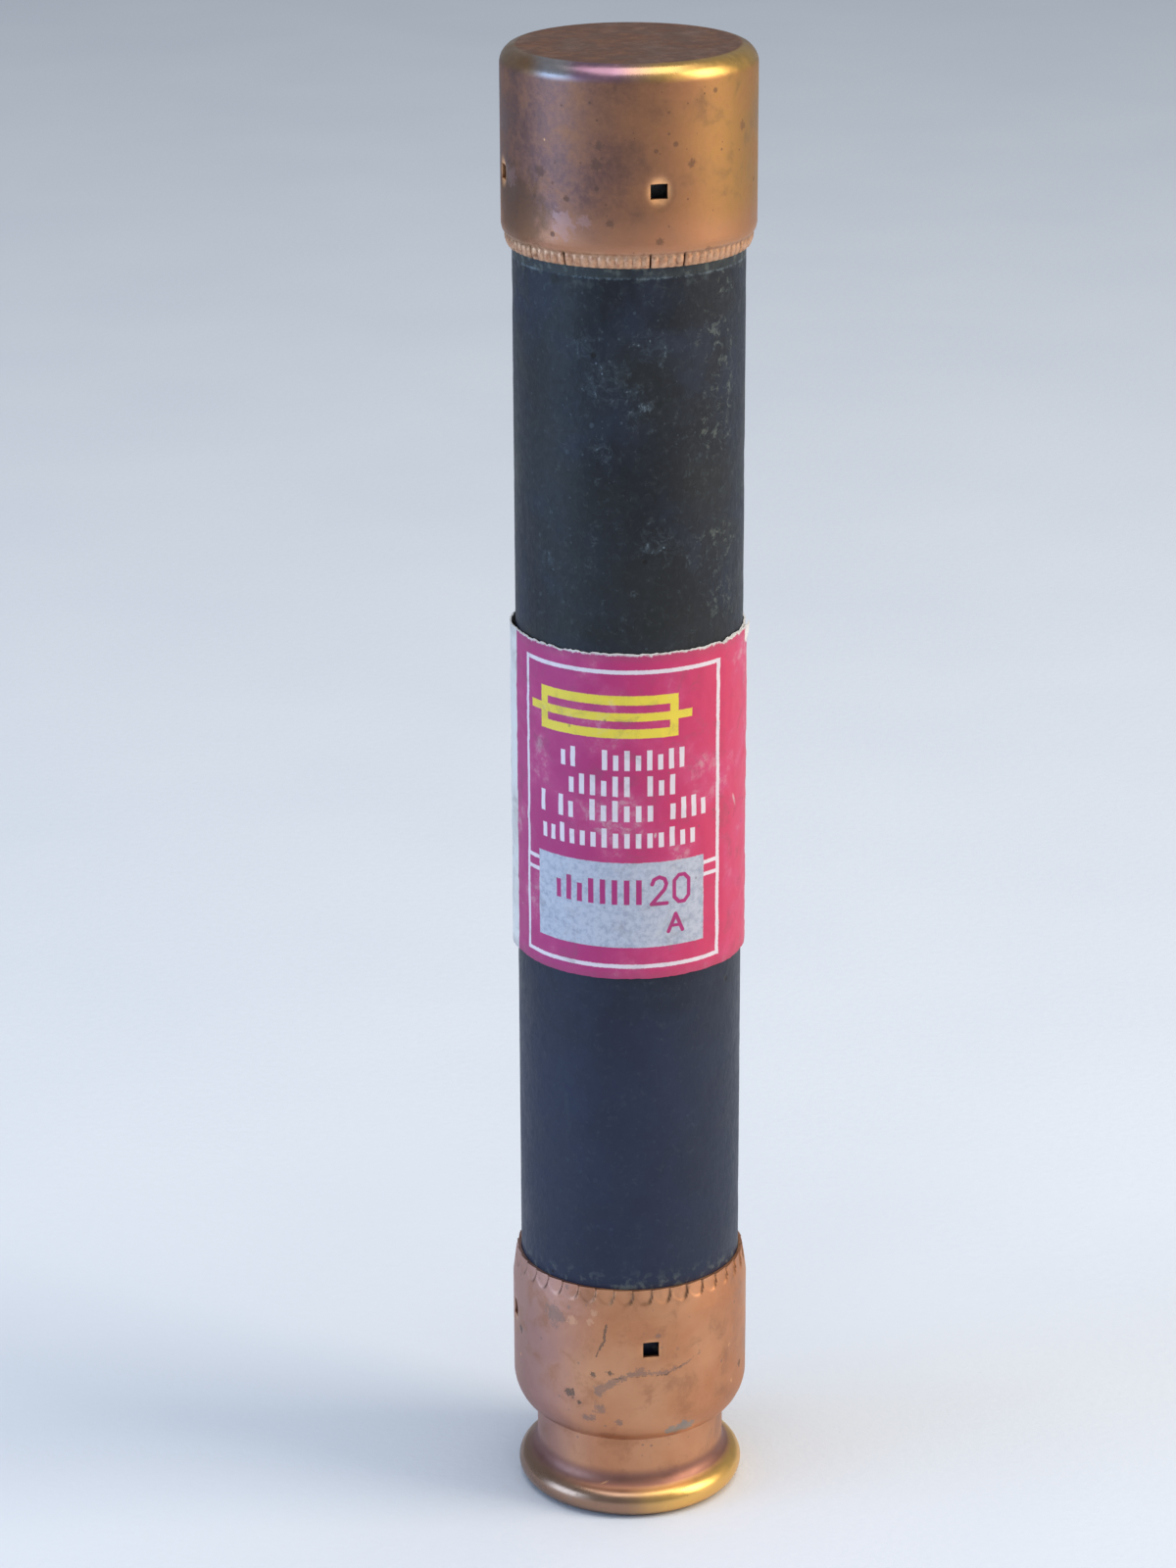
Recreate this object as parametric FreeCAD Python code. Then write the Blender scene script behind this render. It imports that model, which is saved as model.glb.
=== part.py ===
import FreeCAD, Part
import math
import os

# Cartridge fuse with one plain and one grooved (rejection) end ferrule, 13/16 in x 5 in case.
# Frame: millimetres, +Z along the fuse, origin at the centre of the grooved ferrule's flat base.
# Angles round the fuse are in degrees, counted from -Y towards +X.

# ---- case: overall sizes ----
overall_length = 127.0          # over both end faces
tube_radius = 9.45
tube_wall = 2.35
ferrule_fit_gap = 0.03          # radial gap between tube and ferrules

# ---- plain ferrule (top end) ----
plain_ferrule_length = 16.0
plain_ferrule_wall = 0.84
plain_ferrule_corner = 1.5      # outer rounding of the end face
plain_crimp_height = 1.7        # band rolled inwards at the open lip
plain_crimp_depth = 0.38

# ---- rejection ferrule (bottom end) ----
rejection_ferrule_length = 22.1
rejection_ferrule_wall = 0.70
groove_depth = 2.03             # from the contact face down to the neck
flange_step = 0.38              # the end flange is this much smaller than the contact face
flange_bead_radius = 1.27       # rolled edge of the end flange
groove_fillet = 1.4             # hollow between flange and neck
shoulder_radius = 3.91          # rounded shoulder between neck and contact face
shoulder_top = 10.4             # height where the contact face starts
rejection_crimp_height = 2.6
rejection_crimp_depth = 0.33

# ---- square stakes that lock the ferrules to the tube ----
stake_count = 4
stake_width = 1.4
stake_rim = 0.3                 # metal folded inwards round each hole
stake_depth = 0.5               # how far that rim bites into the tube
stake_clearance = 0.06
dimple_radius = 1.2
dimple_depth = 0.22
plain_stake_height = 1.2
plain_stake_below_end = 9.85
plain_stake_angle = 11.7
rejection_stake_height = 1.4
rejection_stake_z = 16.6
rejection_stake_angle = 8.8

# ---- label ----
label_bottom = 50.8
label_height = 28.4
label_thickness = 0.13
label_glue_gap = 0.01
label_flap_start = 52.0
label_flap_end = 85.0

# ---- tube ends: brass washers, gaskets, filling holes ----
washer_thickness = 0.8
washer_rim_gap = 0.02
gasket_thickness = 0.4
gasket_rim_gap = 0.05
solder_room = 0.56              # between the top washer and the ferrule's end wall
fill_hole_radius = 1.5
fill_hole_offset = 3.4
plug_fit_gap = 0.04
plug_flange_overlap = 0.5
plug_flange_thickness = 0.3
solder_thickness = 0.5
solder_margin = 0.5

# ---- short-circuit links ----
link_width = 5.0
link_thickness = 0.25
link_slot_gap = 0.08            # all round a link where it passes a washer or partition
link_tail = 3.2                 # bent over on the washer
link_jog_rise = 4.0             # height over which a link steps sideways
link_jog_gap = 1.0              # from the end of that step to the partition
link_hole_radius = 0.85
link_hole_columns = 2
link_hole_rows = 4
link_hole_pitch = 7.0

# ---- chambers ----
lower_partition_z = 47.0
chamber_length = 31.5           # overload chamber, between the partitions
partition_thickness = 1.5
bore_fit_gap = 0.05
liner_wall = 0.55
filler_end_gap = 0.1

# ---- overload mechanism ----
air_gap = 1.6                   # round the heat absorber and the spring anchor
flat_depth = 0.7                # flats that the links are riveted to
absorber_height = 10.0
absorber_bore_depth = 4.0
heater_thickness = 0.3
heater_margin = 0.8
stem_radius = 1.6
stem_end_gap = 0.3
alloy_wall = 0.38
running_clearance = 0.02
alloy_fillet_width = 0.7
alloy_fillet_height = 0.6
stem_exposed = 1.5              # stem between the absorber and the plunger head
head_radius = 3.4
head_thickness = 1.6
stud_radius = 1.1
stud_height = 2.0
stud_hole_height = 1.2
release_travel = 6.5
stop_gap = 0.05

# ---- trigger spring and its anchor ----
spring_radius = 2.2             # to the middle of the wire
spring_wire = 0.5
spring_turns = 9
spring_hole_gap = 0.06
anchor_thickness = 4.0
anchor_roof = 1.2
anchor_hole_height = 1.4
skirt_gap = 0.45
skirt_wall = 0.6

# ---- flexible shunt ----
shunt_width = 3.0
shunt_thickness = 0.4
shunt_wall_gap = 0.6
shunt_overlap = 1.5             # soldered under the plunger head
shunt_step = 1.0                # height in which it closes on the anchor's flat
shunt_end_margin = 0.4

# ---- rivets ----
rivet_radius = 0.6
rivet_hole_gap = 0.02
rivet_head_radius = 1.1
rivet_head_height = 0.5
rivet_grip = 1.1                # blind length in the block
rivet_spacing = 2.6             # between a pair, side by side across the link
heater_rivet_height = 3.0       # above the absorber's bottom face

# ---- worked-out sizes ----
tube_bore = tube_radius - tube_wall
ferrule_bore = tube_radius + ferrule_fit_gap
plain_radius = ferrule_bore + plain_ferrule_wall
rejection_radius = ferrule_bore + rejection_ferrule_wall
neck_radius = rejection_radius - groove_depth
flange_radius = rejection_radius - flange_step

lower_washer_z = shoulder_top - washer_thickness
tube_bottom = shoulder_top + gasket_thickness
upper_washer_z = overall_length - plain_ferrule_wall - solder_room - washer_thickness
tube_top = upper_washer_z - gasket_thickness

chamber_bottom = lower_partition_z + partition_thickness
chamber_top = chamber_bottom + chamber_length
chamber_radius = tube_bore - bore_fit_gap - liner_wall
block_radius = chamber_radius - air_gap
block_flat = block_radius - flat_depth

absorber_top = chamber_bottom + absorber_height
absorber_bore = stem_radius + running_clearance + alloy_wall
stem_bottom = absorber_top - absorber_bore_depth + stem_end_gap
head_bottom = absorber_top + stem_exposed
head_top = head_bottom + head_thickness
skirt_bottom = head_top + release_travel + stop_gap
anchor_bottom = chamber_top - anchor_thickness
skirt_radius = spring_radius + spring_wire / 2 + skirt_gap
spring_bottom = head_top + stud_hole_height
spring_top = anchor_bottom + anchor_hole_height

lower_link_y = block_flat + heater_thickness + link_thickness / 2
upper_link_y = block_flat + link_thickness / 2
heater_rivet_z = chamber_bottom + heater_rivet_height
anchor_rivet_z = anchor_bottom + anchor_thickness / 2
plain_stake_z = overall_length - plain_stake_below_end


# ---- shape helpers ----
def vec(x, y, z):
    return FreeCAD.Vector(x, y, z)


def line(start, end):
    """Straight edge between two (radius, height) points."""
    return Part.LineSegment(vec(start[0], 0, start[1]), vec(end[0], 0, end[1])).toShape()


def on_circle(centre, radius, degrees):
    angle = math.radians(degrees)
    return (centre[0] + radius * math.cos(angle), centre[1] + radius * math.sin(angle))


def arc(centre, radius, start_deg, end_deg):
    """Arc edge in the (radius, height) plane."""
    points = [on_circle(centre, radius, a) for a in (start_deg, (start_deg + end_deg) / 2, end_deg)]
    return Part.Arc(*[vec(r, 0, z) for r, z in points]).toShape()


def outward(shape):
    """The shape's single solid, with its faces pointing outwards."""
    solid = Part.Solid(shape.Shells[0])
    if solid.Volume < 0:
        solid.reverse()
    return solid


def revolved(edges):
    face = Part.Face(Part.Wire(edges))
    return outward(face.revolve(vec(0, 0, 0), vec(0, 0, 1), 360))


def disc(radius, bottom, height, x=0.0, y=0.0):
    return Part.makeCylinder(radius, height, vec(x, y, bottom))


def ring(outer, inner, bottom, height):
    return disc(outer, bottom, height).cut(disc(inner, bottom, height))


def box(x_range, y_range, z_range):
    sizes = [high - low for low, high in (x_range, y_range, z_range)]
    return Part.makeBox(*sizes, vec(x_range[0], y_range[0], z_range[0]))


def cross_pin(radius, start_x, end_x, height):
    """Round bar along X through the fuse's axis."""
    return Part.makeCylinder(radius, end_x - start_x, vec(start_x, 0, height), vec(1, 0, 0))


def bent_strip(path, width, thickness):
    """Flat strip of constant thickness that follows (y, z) points, with mitred bends."""
    sides = {1: [], -1: []}
    for index, (y, z) in enumerate(path):
        before = path[max(index - 1, 0)]
        after = path[min(index + 1, len(path) - 1)]
        arrive = math.atan2(z - before[1], y - before[0]) if index else None
        leave = math.atan2(after[1] - z, after[0] - y) if index < len(path) - 1 else arrive
        arrive = leave if arrive is None else arrive
        half_turn = (leave - arrive) / 2
        normal = arrive + half_turn + math.pi / 2
        reach = thickness / 2 / math.cos(half_turn)
        for side, points in sides.items():
            points.append((y + side * reach * math.cos(normal), z + side * reach * math.sin(normal)))
    outline = sides[1] + sides[-1][::-1]
    corners = [vec(-width / 2, y, z) for y, z in outline + outline[:1]]
    return outward(Part.Face(Part.makePolygon(corners)).extrude(vec(width, 0, 0)))


def turned(shape, degrees):
    return shape.copy().rotate(vec(0, 0, 0), vec(0, 0, 1), degrees)


# ---- stakes ----
def stake_box(extra, inner, outer, height, z):
    """Radial block on the -Y side, `extra` larger all round than the stake hole."""
    half_width = stake_width / 2 + extra
    half_height = height / 2 + extra
    return box((-half_width, half_width), (-outer, -inner), (z - half_height, z + half_height))


def around(shape, first_angle):
    return [turned(shape, first_angle + 360 / stake_count * i) for i in range(stake_count)]


def staked(ferrule, radius, height, z, first_angle):
    """Ferrule with dished square holes whose rims are folded into the tube."""
    deepest = tube_radius - stake_depth
    rim = stake_box(stake_rim, deepest, ferrule_bore + ferrule_fit_gap, height, z)
    hole = stake_box(0, deepest - 1, radius + 1, height, z)
    ball = (dimple_radius ** 2 + dimple_depth ** 2) / (2 * dimple_depth)
    dish = Part.makeSphere(ball, vec(0, -(radius + ball - dimple_depth), z))
    ferrule = ferrule.fuse(around(rim, first_angle))
    return ferrule.cut(around(hole.fuse(dish), first_angle))


def stake_pockets(height, z, first_angle):
    inner = tube_radius - stake_depth - stake_clearance
    pocket = stake_box(stake_rim + stake_clearance, inner, tube_radius + 1, height, z)
    return around(pocket, first_angle)


# ---- case ----
def make_fuse_tube():
    tube = ring(tube_radius, tube_bore, tube_bottom, tube_top - tube_bottom)
    pockets = stake_pockets(plain_stake_height, plain_stake_z, plain_stake_angle)
    pockets += stake_pockets(rejection_stake_height, rejection_stake_z, rejection_stake_angle)
    return tube.cut(pockets)


def make_plain_ferrule():
    """Drawn cap, rounded at the end face and rolled inwards at the lip."""
    lip = overall_length - plain_ferrule_length
    corner_z = overall_length - plain_ferrule_corner
    corner_r = plain_radius - plain_ferrule_corner
    inside_top = overall_length - plain_ferrule_wall
    inside_corner = plain_ferrule_corner - plain_ferrule_wall
    edges = [
        line((0, overall_length), (corner_r, overall_length)),
        arc((corner_r, corner_z), plain_ferrule_corner, 90, 0),
        line((plain_radius, corner_z), (plain_radius, lip + plain_crimp_height)),
        line((plain_radius, lip + plain_crimp_height), (plain_radius - plain_crimp_depth, lip)),
        line((plain_radius - plain_crimp_depth, lip), (ferrule_bore, lip)),
        line((ferrule_bore, lip), (ferrule_bore, corner_z)),
        arc((corner_r, corner_z), inside_corner, 0, 90),
        line((corner_r, inside_top), (0, inside_top)),
        line((0, inside_top), (0, overall_length)),
    ]
    return staked(revolved(edges), plain_radius, plain_stake_height, plain_stake_z, plain_stake_angle)


def grooved_wall(inset):
    """Wall line from the axis at the base to the top of the shoulder, `inset` inside the outer face."""
    bead = (flange_radius - flange_bead_radius, flange_bead_radius)
    reach = flange_bead_radius + groove_fillet
    hollow_r = neck_radius + groove_fillet
    hollow = (hollow_r, bead[1] + math.sqrt(reach ** 2 - (hollow_r - bead[0]) ** 2))
    lean = math.degrees(math.atan2(hollow[1] - bead[1], hollow[0] - bead[0]))
    shoulder = (rejection_radius - shoulder_radius, shoulder_top)
    neck = neck_radius - inset
    sweep = math.degrees(math.acos((neck - shoulder[0]) / (shoulder_radius - inset)))
    crease = on_circle(shoulder, shoulder_radius - inset, -sweep)
    return [
        line((0, inset), (bead[0], inset)),
        arc(bead, flange_bead_radius - inset, -90, lean),
        arc(hollow, groove_fillet + inset, 180 + lean, 180),
        line((neck, hollow[1]), crease),
        arc(shoulder, shoulder_radius - inset, -sweep, 0),
    ]


def make_rejection_ferrule():
    """Formed cap: end flange, groove for the rejection clip, rounded shoulder, contact face, crimped lip."""
    lip = rejection_ferrule_length
    crimp = lip - rejection_crimp_height
    lip_radius = rejection_radius - rejection_crimp_depth
    edges = grooved_wall(0) + [
        line((rejection_radius, shoulder_top), (rejection_radius, crimp)),
        line((rejection_radius, crimp), (lip_radius, lip)),
        line((lip_radius, lip), (ferrule_bore, lip)),
        line((ferrule_bore, lip), (ferrule_bore, shoulder_top)),
    ] + grooved_wall(rejection_ferrule_wall)[::-1] + [line((0, rejection_ferrule_wall), (0, 0))]
    return staked(revolved(edges), rejection_radius, rejection_stake_height,
                  rejection_stake_z, rejection_stake_angle)


def make_rating_label():
    """Paper band glued round the tube, its end lapped over its start."""
    inner = tube_radius + label_glue_gap
    outer = inner + label_thickness
    sweep = label_flap_end - label_flap_start
    solid = Part.makeCylinder(outer + label_thickness, label_height, vec(0, 0, label_bottom),
                              vec(0, 0, 1), sweep)
    flap = turned(solid, label_flap_start - 90).cut(disc(outer - label_thickness / 2, label_bottom,
                                                         label_height))
    return ring(outer, inner, label_bottom, label_height).fuse(flap)


# ---- links ----
def lower_link_path():
    tail_z = lower_washer_z - link_thickness / 2
    jog_end = lower_partition_z - link_jog_gap
    top = chamber_bottom + absorber_height - heater_margin
    return [(-link_tail, tail_z), (0, tail_z), (0, jog_end - link_jog_rise),
            (lower_link_y, jog_end), (lower_link_y, top)]


def upper_link_path():
    tail_z = upper_washer_z + washer_thickness + link_thickness / 2
    jog_end = chamber_top + partition_thickness + link_jog_gap
    bottom = anchor_bottom + heater_margin / 2
    return [(-link_tail, tail_z), (0, tail_z), (0, jog_end + link_jog_rise),
            (upper_link_y, jog_end), (upper_link_y, bottom)]


def link_holes(start_z, end_z):
    """Rows of round holes that leave the narrow necks of the link."""
    middle = (start_z + end_z) / 2
    first = middle - link_hole_pitch * (link_hole_rows - 1) / 2
    spacing = link_width / link_hole_columns
    holes = []
    for row in range(link_hole_rows):
        for column in range(link_hole_columns):
            x = (column - (link_hole_columns - 1) / 2) * spacing
            start = vec(x, -link_thickness, first + row * link_hole_pitch)
            holes.append(Part.makeCylinder(link_hole_radius, 2 * link_thickness, start, vec(0, 1, 0)))
    return holes


def short_circuit_link(path, link_y, rivet_z):
    strip = bent_strip(path, link_width, link_thickness)
    return strip.cut(link_holes(path[1][1], path[2][1]) + rivet_shanks(link_y, rivet_z, rivet_hole_gap))


def link_passage(path):
    """The same strip, a little larger all round: the opening that a link passes through."""
    return bent_strip(path, link_width + 2 * link_slot_gap, link_thickness + 2 * link_slot_gap)


# ---- rivets ----
def rivet_shanks(link_y, z, extra):
    """Pair of shanks along Y, from the link's outer face into the block behind it."""
    bottom = block_flat - rivet_grip - extra
    length = link_y + link_thickness / 2 - bottom + extra
    return [Part.makeCylinder(rivet_radius + extra, length, vec(side * rivet_spacing / 2, bottom, z),
                              vec(0, 1, 0)) for side in (-1, 1)]


def make_rivets(link_y, z):
    rivets = []
    for side, shank in zip((-1, 1), rivet_shanks(link_y, z, 0)):
        foot = vec(side * rivet_spacing / 2, link_y + link_thickness / 2, z)
        head = Part.makeCone(rivet_head_radius, rivet_radius, rivet_head_height, foot, vec(0, 1, 0))
        rivets.append(shank.fuse(head))
    return Part.makeCompound(rivets)


# ---- tube ends ----
def end_washer(radius, bottom, path):
    washer = disc(radius, bottom, washer_thickness)
    hole = disc(fill_hole_radius, bottom, washer_thickness, y=fill_hole_offset)
    return washer.cut([hole, link_passage(path[1:])])


def lower_washer_radius():
    """Where the washer's lower edge meets the inside of the ferrule's shoulder."""
    inner_arc = shoulder_radius - rejection_ferrule_wall
    reach = math.sqrt(inner_arc ** 2 - washer_thickness ** 2)
    return rejection_radius - shoulder_radius + reach - washer_rim_gap


def gasket(bottom):
    return ring(tube_radius - gasket_rim_gap, tube_bore, bottom, gasket_thickness)


def fill_plug(hole_bottom, flange_bottom):
    body = disc(fill_hole_radius - plug_fit_gap, hole_bottom, washer_thickness, y=fill_hole_offset)
    flange = disc(fill_hole_radius + plug_flange_overlap, flange_bottom, plug_flange_thickness,
                  y=fill_hole_offset)
    return body.fuse(flange)


def tail_solder(link, bottom):
    """Solder pool over the bent tail of a link."""
    half_width = link_width / 2 + solder_margin
    pool = box((-half_width, half_width), (-link_tail - solder_margin, solder_margin),
               (bottom, bottom + solder_thickness))
    upright = [edge for edge in pool.Edges if abs(edge.tangentAt(edge.FirstParameter).z) > 0.9]
    return pool.makeFillet(solder_margin, upright).cut(link)


# ---- chambers ----
def partition(bottom, path):
    return disc(tube_bore - bore_fit_gap, bottom, partition_thickness).cut(link_passage(path))


def quartz_filler(bottom, top, path):
    height = top - bottom - 2 * filler_end_gap
    return disc(tube_bore - bore_fit_gap, bottom + filler_end_gap, height).cut(link_passage(path))


def make_chamber_liner():
    return ring(tube_bore - bore_fit_gap, chamber_radius, chamber_bottom, chamber_length)


# ---- overload mechanism ----
def make_heat_absorber():
    """Copper block with a flat for the link and a blind bore for the plunger's stem."""
    block = disc(block_radius, chamber_bottom, absorber_height)
    flat = box((-block_radius, block_radius), (block_flat, block_radius), (chamber_bottom, absorber_top))
    bore = disc(absorber_bore, absorber_top - absorber_bore_depth, absorber_bore_depth)
    return block.cut([flat, bore] + rivet_shanks(lower_link_y, heater_rivet_z, rivet_hole_gap))


def make_heater_strip():
    half = link_width / 2
    strip = box((-half, half), (block_flat, block_flat + heater_thickness),
                (chamber_bottom + heater_margin / 2, absorber_top - heater_margin))
    return strip.cut(rivet_shanks(lower_link_y, heater_rivet_z, rivet_hole_gap))


def make_fusing_alloy():
    """Low-melting solder sleeve round the stem, with a small fillet on top of the absorber."""
    inner = stem_radius + running_clearance
    bottom = stem_bottom
    edges = [
        line((inner, bottom), (absorber_bore, bottom)),
        line((absorber_bore, bottom), (absorber_bore, absorber_top)),
        line((absorber_bore, absorber_top), (absorber_bore + alloy_fillet_width, absorber_top)),
        line((absorber_bore + alloy_fillet_width, absorber_top), (inner, absorber_top + alloy_fillet_height)),
        line((inner, absorber_top + alloy_fillet_height), (inner, bottom)),
    ]
    return revolved(edges)


def make_trigger_plunger():
    stem = disc(stem_radius, stem_bottom, head_bottom - stem_bottom)
    head = disc(head_radius, head_bottom, head_thickness)
    stud = disc(stud_radius, head_top, stud_height)
    hole = cross_pin(spring_wire / 2 + spring_hole_gap, -head_radius, head_radius, spring_bottom)
    return stem.fuse([head, stud]).cut(hole)


def make_trigger_spring():
    """Extension spring, held stretched, with its ends bent across the axis."""
    wire_radius = spring_wire / 2
    height = spring_top - spring_bottom
    helix = Part.makeHelix(height / spring_turns, height, spring_radius)
    section = Part.Wire(Part.makeCircle(wire_radius, vec(spring_radius, 0, 0), vec(0, 1, 0)))
    coil = Part.Wire(helix.Edges).makePipeShell([section], True, True)
    coil.translate(vec(0, 0, spring_bottom))
    reach = spring_radius + wire_radius / 2
    ends = [cross_pin(wire_radius, wire_radius - spring_radius, reach, z) for z in (spring_bottom, spring_top)]
    return coil.fuse(ends)


def make_spring_anchor():
    """Block under the upper partition: post for the spring, and a skirt that stops the plunger."""
    block = disc(block_radius, anchor_bottom, anchor_thickness)
    for side in (1, -1):
        flat_y = sorted((side * block_flat, side * block_radius))
        block = block.cut(box((-block_radius, block_radius), flat_y, (anchor_bottom, chamber_top)))
    skirt = disc(skirt_radius + skirt_wall, skirt_bottom, anchor_bottom - skirt_bottom)
    hollow = disc(skirt_radius, skirt_bottom, chamber_top - anchor_roof - skirt_bottom)
    post = disc(stud_radius, anchor_bottom, anchor_thickness)
    hole = cross_pin(spring_wire / 2 + spring_hole_gap, -stud_radius, stud_radius, spring_top)
    anchor = block.fuse(skirt).cut(hollow).fuse(post).cut(hole)
    return anchor.cut(rivet_shanks(upper_link_y, anchor_rivet_z, rivet_hole_gap))


def make_flexible_shunt():
    """Slack copper braid from under the plunger head to the anchor's back flat."""
    under_head = head_bottom - shunt_thickness / 2
    on_flat = -block_flat - shunt_thickness / 2
    bulge = -(chamber_radius - shunt_wall_gap)
    beside_skirt = min(on_flat, -skirt_radius - skirt_wall - shunt_thickness)
    path = [(-head_radius + shunt_overlap, under_head), (-head_radius - shunt_thickness, under_head),
            (bulge, head_top), (bulge, skirt_bottom), (beside_skirt, anchor_bottom),
            (on_flat, anchor_bottom + shunt_step), (on_flat, chamber_top - shunt_end_margin)]
    return bent_strip(path, shunt_width, shunt_thickness)


# ---- assembly ----
def all_nodes():
    lower_path = lower_link_path()
    upper_path = upper_link_path()
    lower_link = short_circuit_link(lower_path, lower_link_y, heater_rivet_z)
    upper_link = short_circuit_link(upper_path, upper_link_y, anchor_rivet_z)
    upper_washer_top = upper_washer_z + washer_thickness
    upper_chamber_z = chamber_top + partition_thickness
    return {
        "fuse_tube": make_fuse_tube(),
        "plain_ferrule": make_plain_ferrule(),
        "rejection_ferrule": make_rejection_ferrule(),
        "rating_label": make_rating_label(),
        "upper_end_washer": end_washer(ferrule_bore - washer_rim_gap, upper_washer_z, upper_path),
        "lower_end_washer": end_washer(lower_washer_radius(), lower_washer_z, lower_path),
        "upper_gasket": gasket(tube_top),
        "lower_gasket": gasket(shoulder_top),
        "upper_fill_plug": fill_plug(upper_washer_z, upper_washer_top),
        "lower_fill_plug": fill_plug(lower_washer_z, lower_washer_z - plug_flange_thickness),
        "upper_link_solder": tail_solder(upper_link, upper_washer_top),
        "lower_link_solder": tail_solder(lower_link, lower_washer_z - solder_thickness),
        "upper_short_circuit_link": upper_link,
        "lower_short_circuit_link": lower_link,
        "upper_quartz_filler": quartz_filler(upper_chamber_z, tube_top, upper_path),
        "lower_quartz_filler": quartz_filler(tube_bottom, lower_partition_z, lower_path),
        "upper_partition": partition(chamber_top, upper_path),
        "lower_partition": partition(lower_partition_z, lower_path),
        "chamber_liner": make_chamber_liner(),
        "heat_absorber": make_heat_absorber(),
        "heater_strip": make_heater_strip(),
        "fusing_alloy": make_fusing_alloy(),
        "trigger_plunger": make_trigger_plunger(),
        "trigger_spring": make_trigger_spring(),
        "spring_anchor": make_spring_anchor(),
        "flexible_shunt": make_flexible_shunt(),
        "heater_rivets": make_rivets(lower_link_y, heater_rivet_z),
        "anchor_rivets": make_rivets(upper_link_y, anchor_rivet_z),
    }


os.makedirs("parts", exist_ok=True)
for name, shape in all_nodes().items():
    shape.exportStep(f"parts/{name}.step")
    print(f"{name:26s} solids {len(shape.Solids)}  volume {shape.Volume:9.2f} mm3  valid {shape.isValid()}")
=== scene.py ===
"""Cartridge fuse with a grooved end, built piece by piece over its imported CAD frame.

Lengths are in millimetres until they reach a mesh, which is in metres. Degrees run round the
fuse from its front (-Y) towards +X.
"""
import math

import bpy
from mathutils import Matrix, Vector


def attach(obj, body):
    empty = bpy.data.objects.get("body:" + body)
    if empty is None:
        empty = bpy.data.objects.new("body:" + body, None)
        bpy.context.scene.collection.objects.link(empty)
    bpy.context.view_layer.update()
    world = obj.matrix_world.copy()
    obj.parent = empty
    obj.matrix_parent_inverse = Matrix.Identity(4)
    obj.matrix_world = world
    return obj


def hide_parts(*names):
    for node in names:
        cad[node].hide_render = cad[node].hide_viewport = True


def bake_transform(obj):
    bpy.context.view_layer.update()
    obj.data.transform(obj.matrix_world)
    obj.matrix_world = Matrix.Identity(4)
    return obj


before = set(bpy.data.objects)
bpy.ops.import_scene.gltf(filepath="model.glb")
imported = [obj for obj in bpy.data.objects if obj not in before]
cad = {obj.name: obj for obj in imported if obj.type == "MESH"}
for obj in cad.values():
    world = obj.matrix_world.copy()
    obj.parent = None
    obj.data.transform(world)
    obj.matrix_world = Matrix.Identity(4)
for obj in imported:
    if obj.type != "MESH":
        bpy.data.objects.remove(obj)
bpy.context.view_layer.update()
mm = 0.001

# ---- Camera ----
# Stands a little above the fuse's top end, turned down about 20 degrees.
camera_data = bpy.data.cameras.new("camera")
camera_data.sensor_width = 36.0
camera_data.lens = 100.75
camera_data.clip_start, camera_data.clip_end = 0.01, 20.0
camera = bpy.data.objects.new("camera", camera_data)
camera.matrix_world = (
    Matrix.Translation(Vector((-9.93, -346.26, 190.49)) * mm)
    @ Matrix.Rotation(math.radians(-1.068), 4, "Z")
    @ Matrix.Rotation(math.radians(90 - 19.979), 4, "X")
    @ Matrix.Rotation(math.radians(-0.236), 4, "Z"))
bpy.context.scene.collection.objects.link(camera)
bpy.context.scene.camera = camera
bpy.context.scene.view_settings.view_transform = "Standard"

# ---- Floor and studio light ----
# A sheet of pale matt card, one warm softbox to the right, one cool one to the left, and a
# broad panel overhead.


def tint(red, green, blue):
    """Linear colour from screen values of 0 to 255."""
    return tuple(
        (c / 12.92 if c <= 0.04045 else ((c + 0.055) / 1.055) ** 2.4)
        for c in (red / 255, green / 255, blue / 255)) + (1.0,)


def wire_up(node, inputs):
    """Wires or sets a node's inputs, each by its name or its place."""
    for name, value in inputs.items():
        if isinstance(value, bpy.types.NodeSocket):
            node.id_data.links.new(value, node.inputs[name])
        else:
            node.inputs[name].default_value = value


def add(tree, kind, inputs=None, **settings):
    """Adds a node to a tree, with its settings and inputs."""
    node = tree.nodes.new(kind)
    row, column = divmod(len(tree.nodes), 14)
    node.location = (220 * column, -280 * row)
    for name, value in settings.items():
        setattr(node, name, value)
    wire_up(node, inputs or {})
    return node


def tree_of(*values):
    """Node tree that the sockets among the values belong to."""
    return next(value for value in values if isinstance(value, bpy.types.NodeSocket)).id_data


def calc(operation, *values):
    """Puts out a Math node's result for numbers or sockets."""
    node = add(tree_of(*values), "ShaderNodeMath", dict(enumerate(values)), operation=operation)
    return node.outputs[0]


def vector_calc(operation, *values, **named):
    """Does the same with vectors."""
    node = add(tree_of(*values, *named.values()), "ShaderNodeVectorMath",
               {**dict(enumerate(values)), **named}, operation=operation)
    number = operation in ("LENGTH", "DISTANCE", "DOT_PRODUCT")
    return node.outputs["Value" if number else "Vector"]


def is_vector(value):
    return isinstance(value, tuple) or getattr(value, "type", "") in ("VECTOR", "RGBA")


def arithmetic(operation, swapped=False):
    """Arithmetic on a node socket: adds the node that works it out, for numbers or vectors."""
    def worked_out(own, other):
        first, second = (other, own) if swapped else (own, other)
        if not is_vector(first) and not is_vector(second):
            return calc(operation, first, second)
        if operation == "MULTIPLY" and not is_vector(second):
            return vector_calc("SCALE", first, Scale=second)
        return vector_calc(operation, first, second)
    return worked_out


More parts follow.
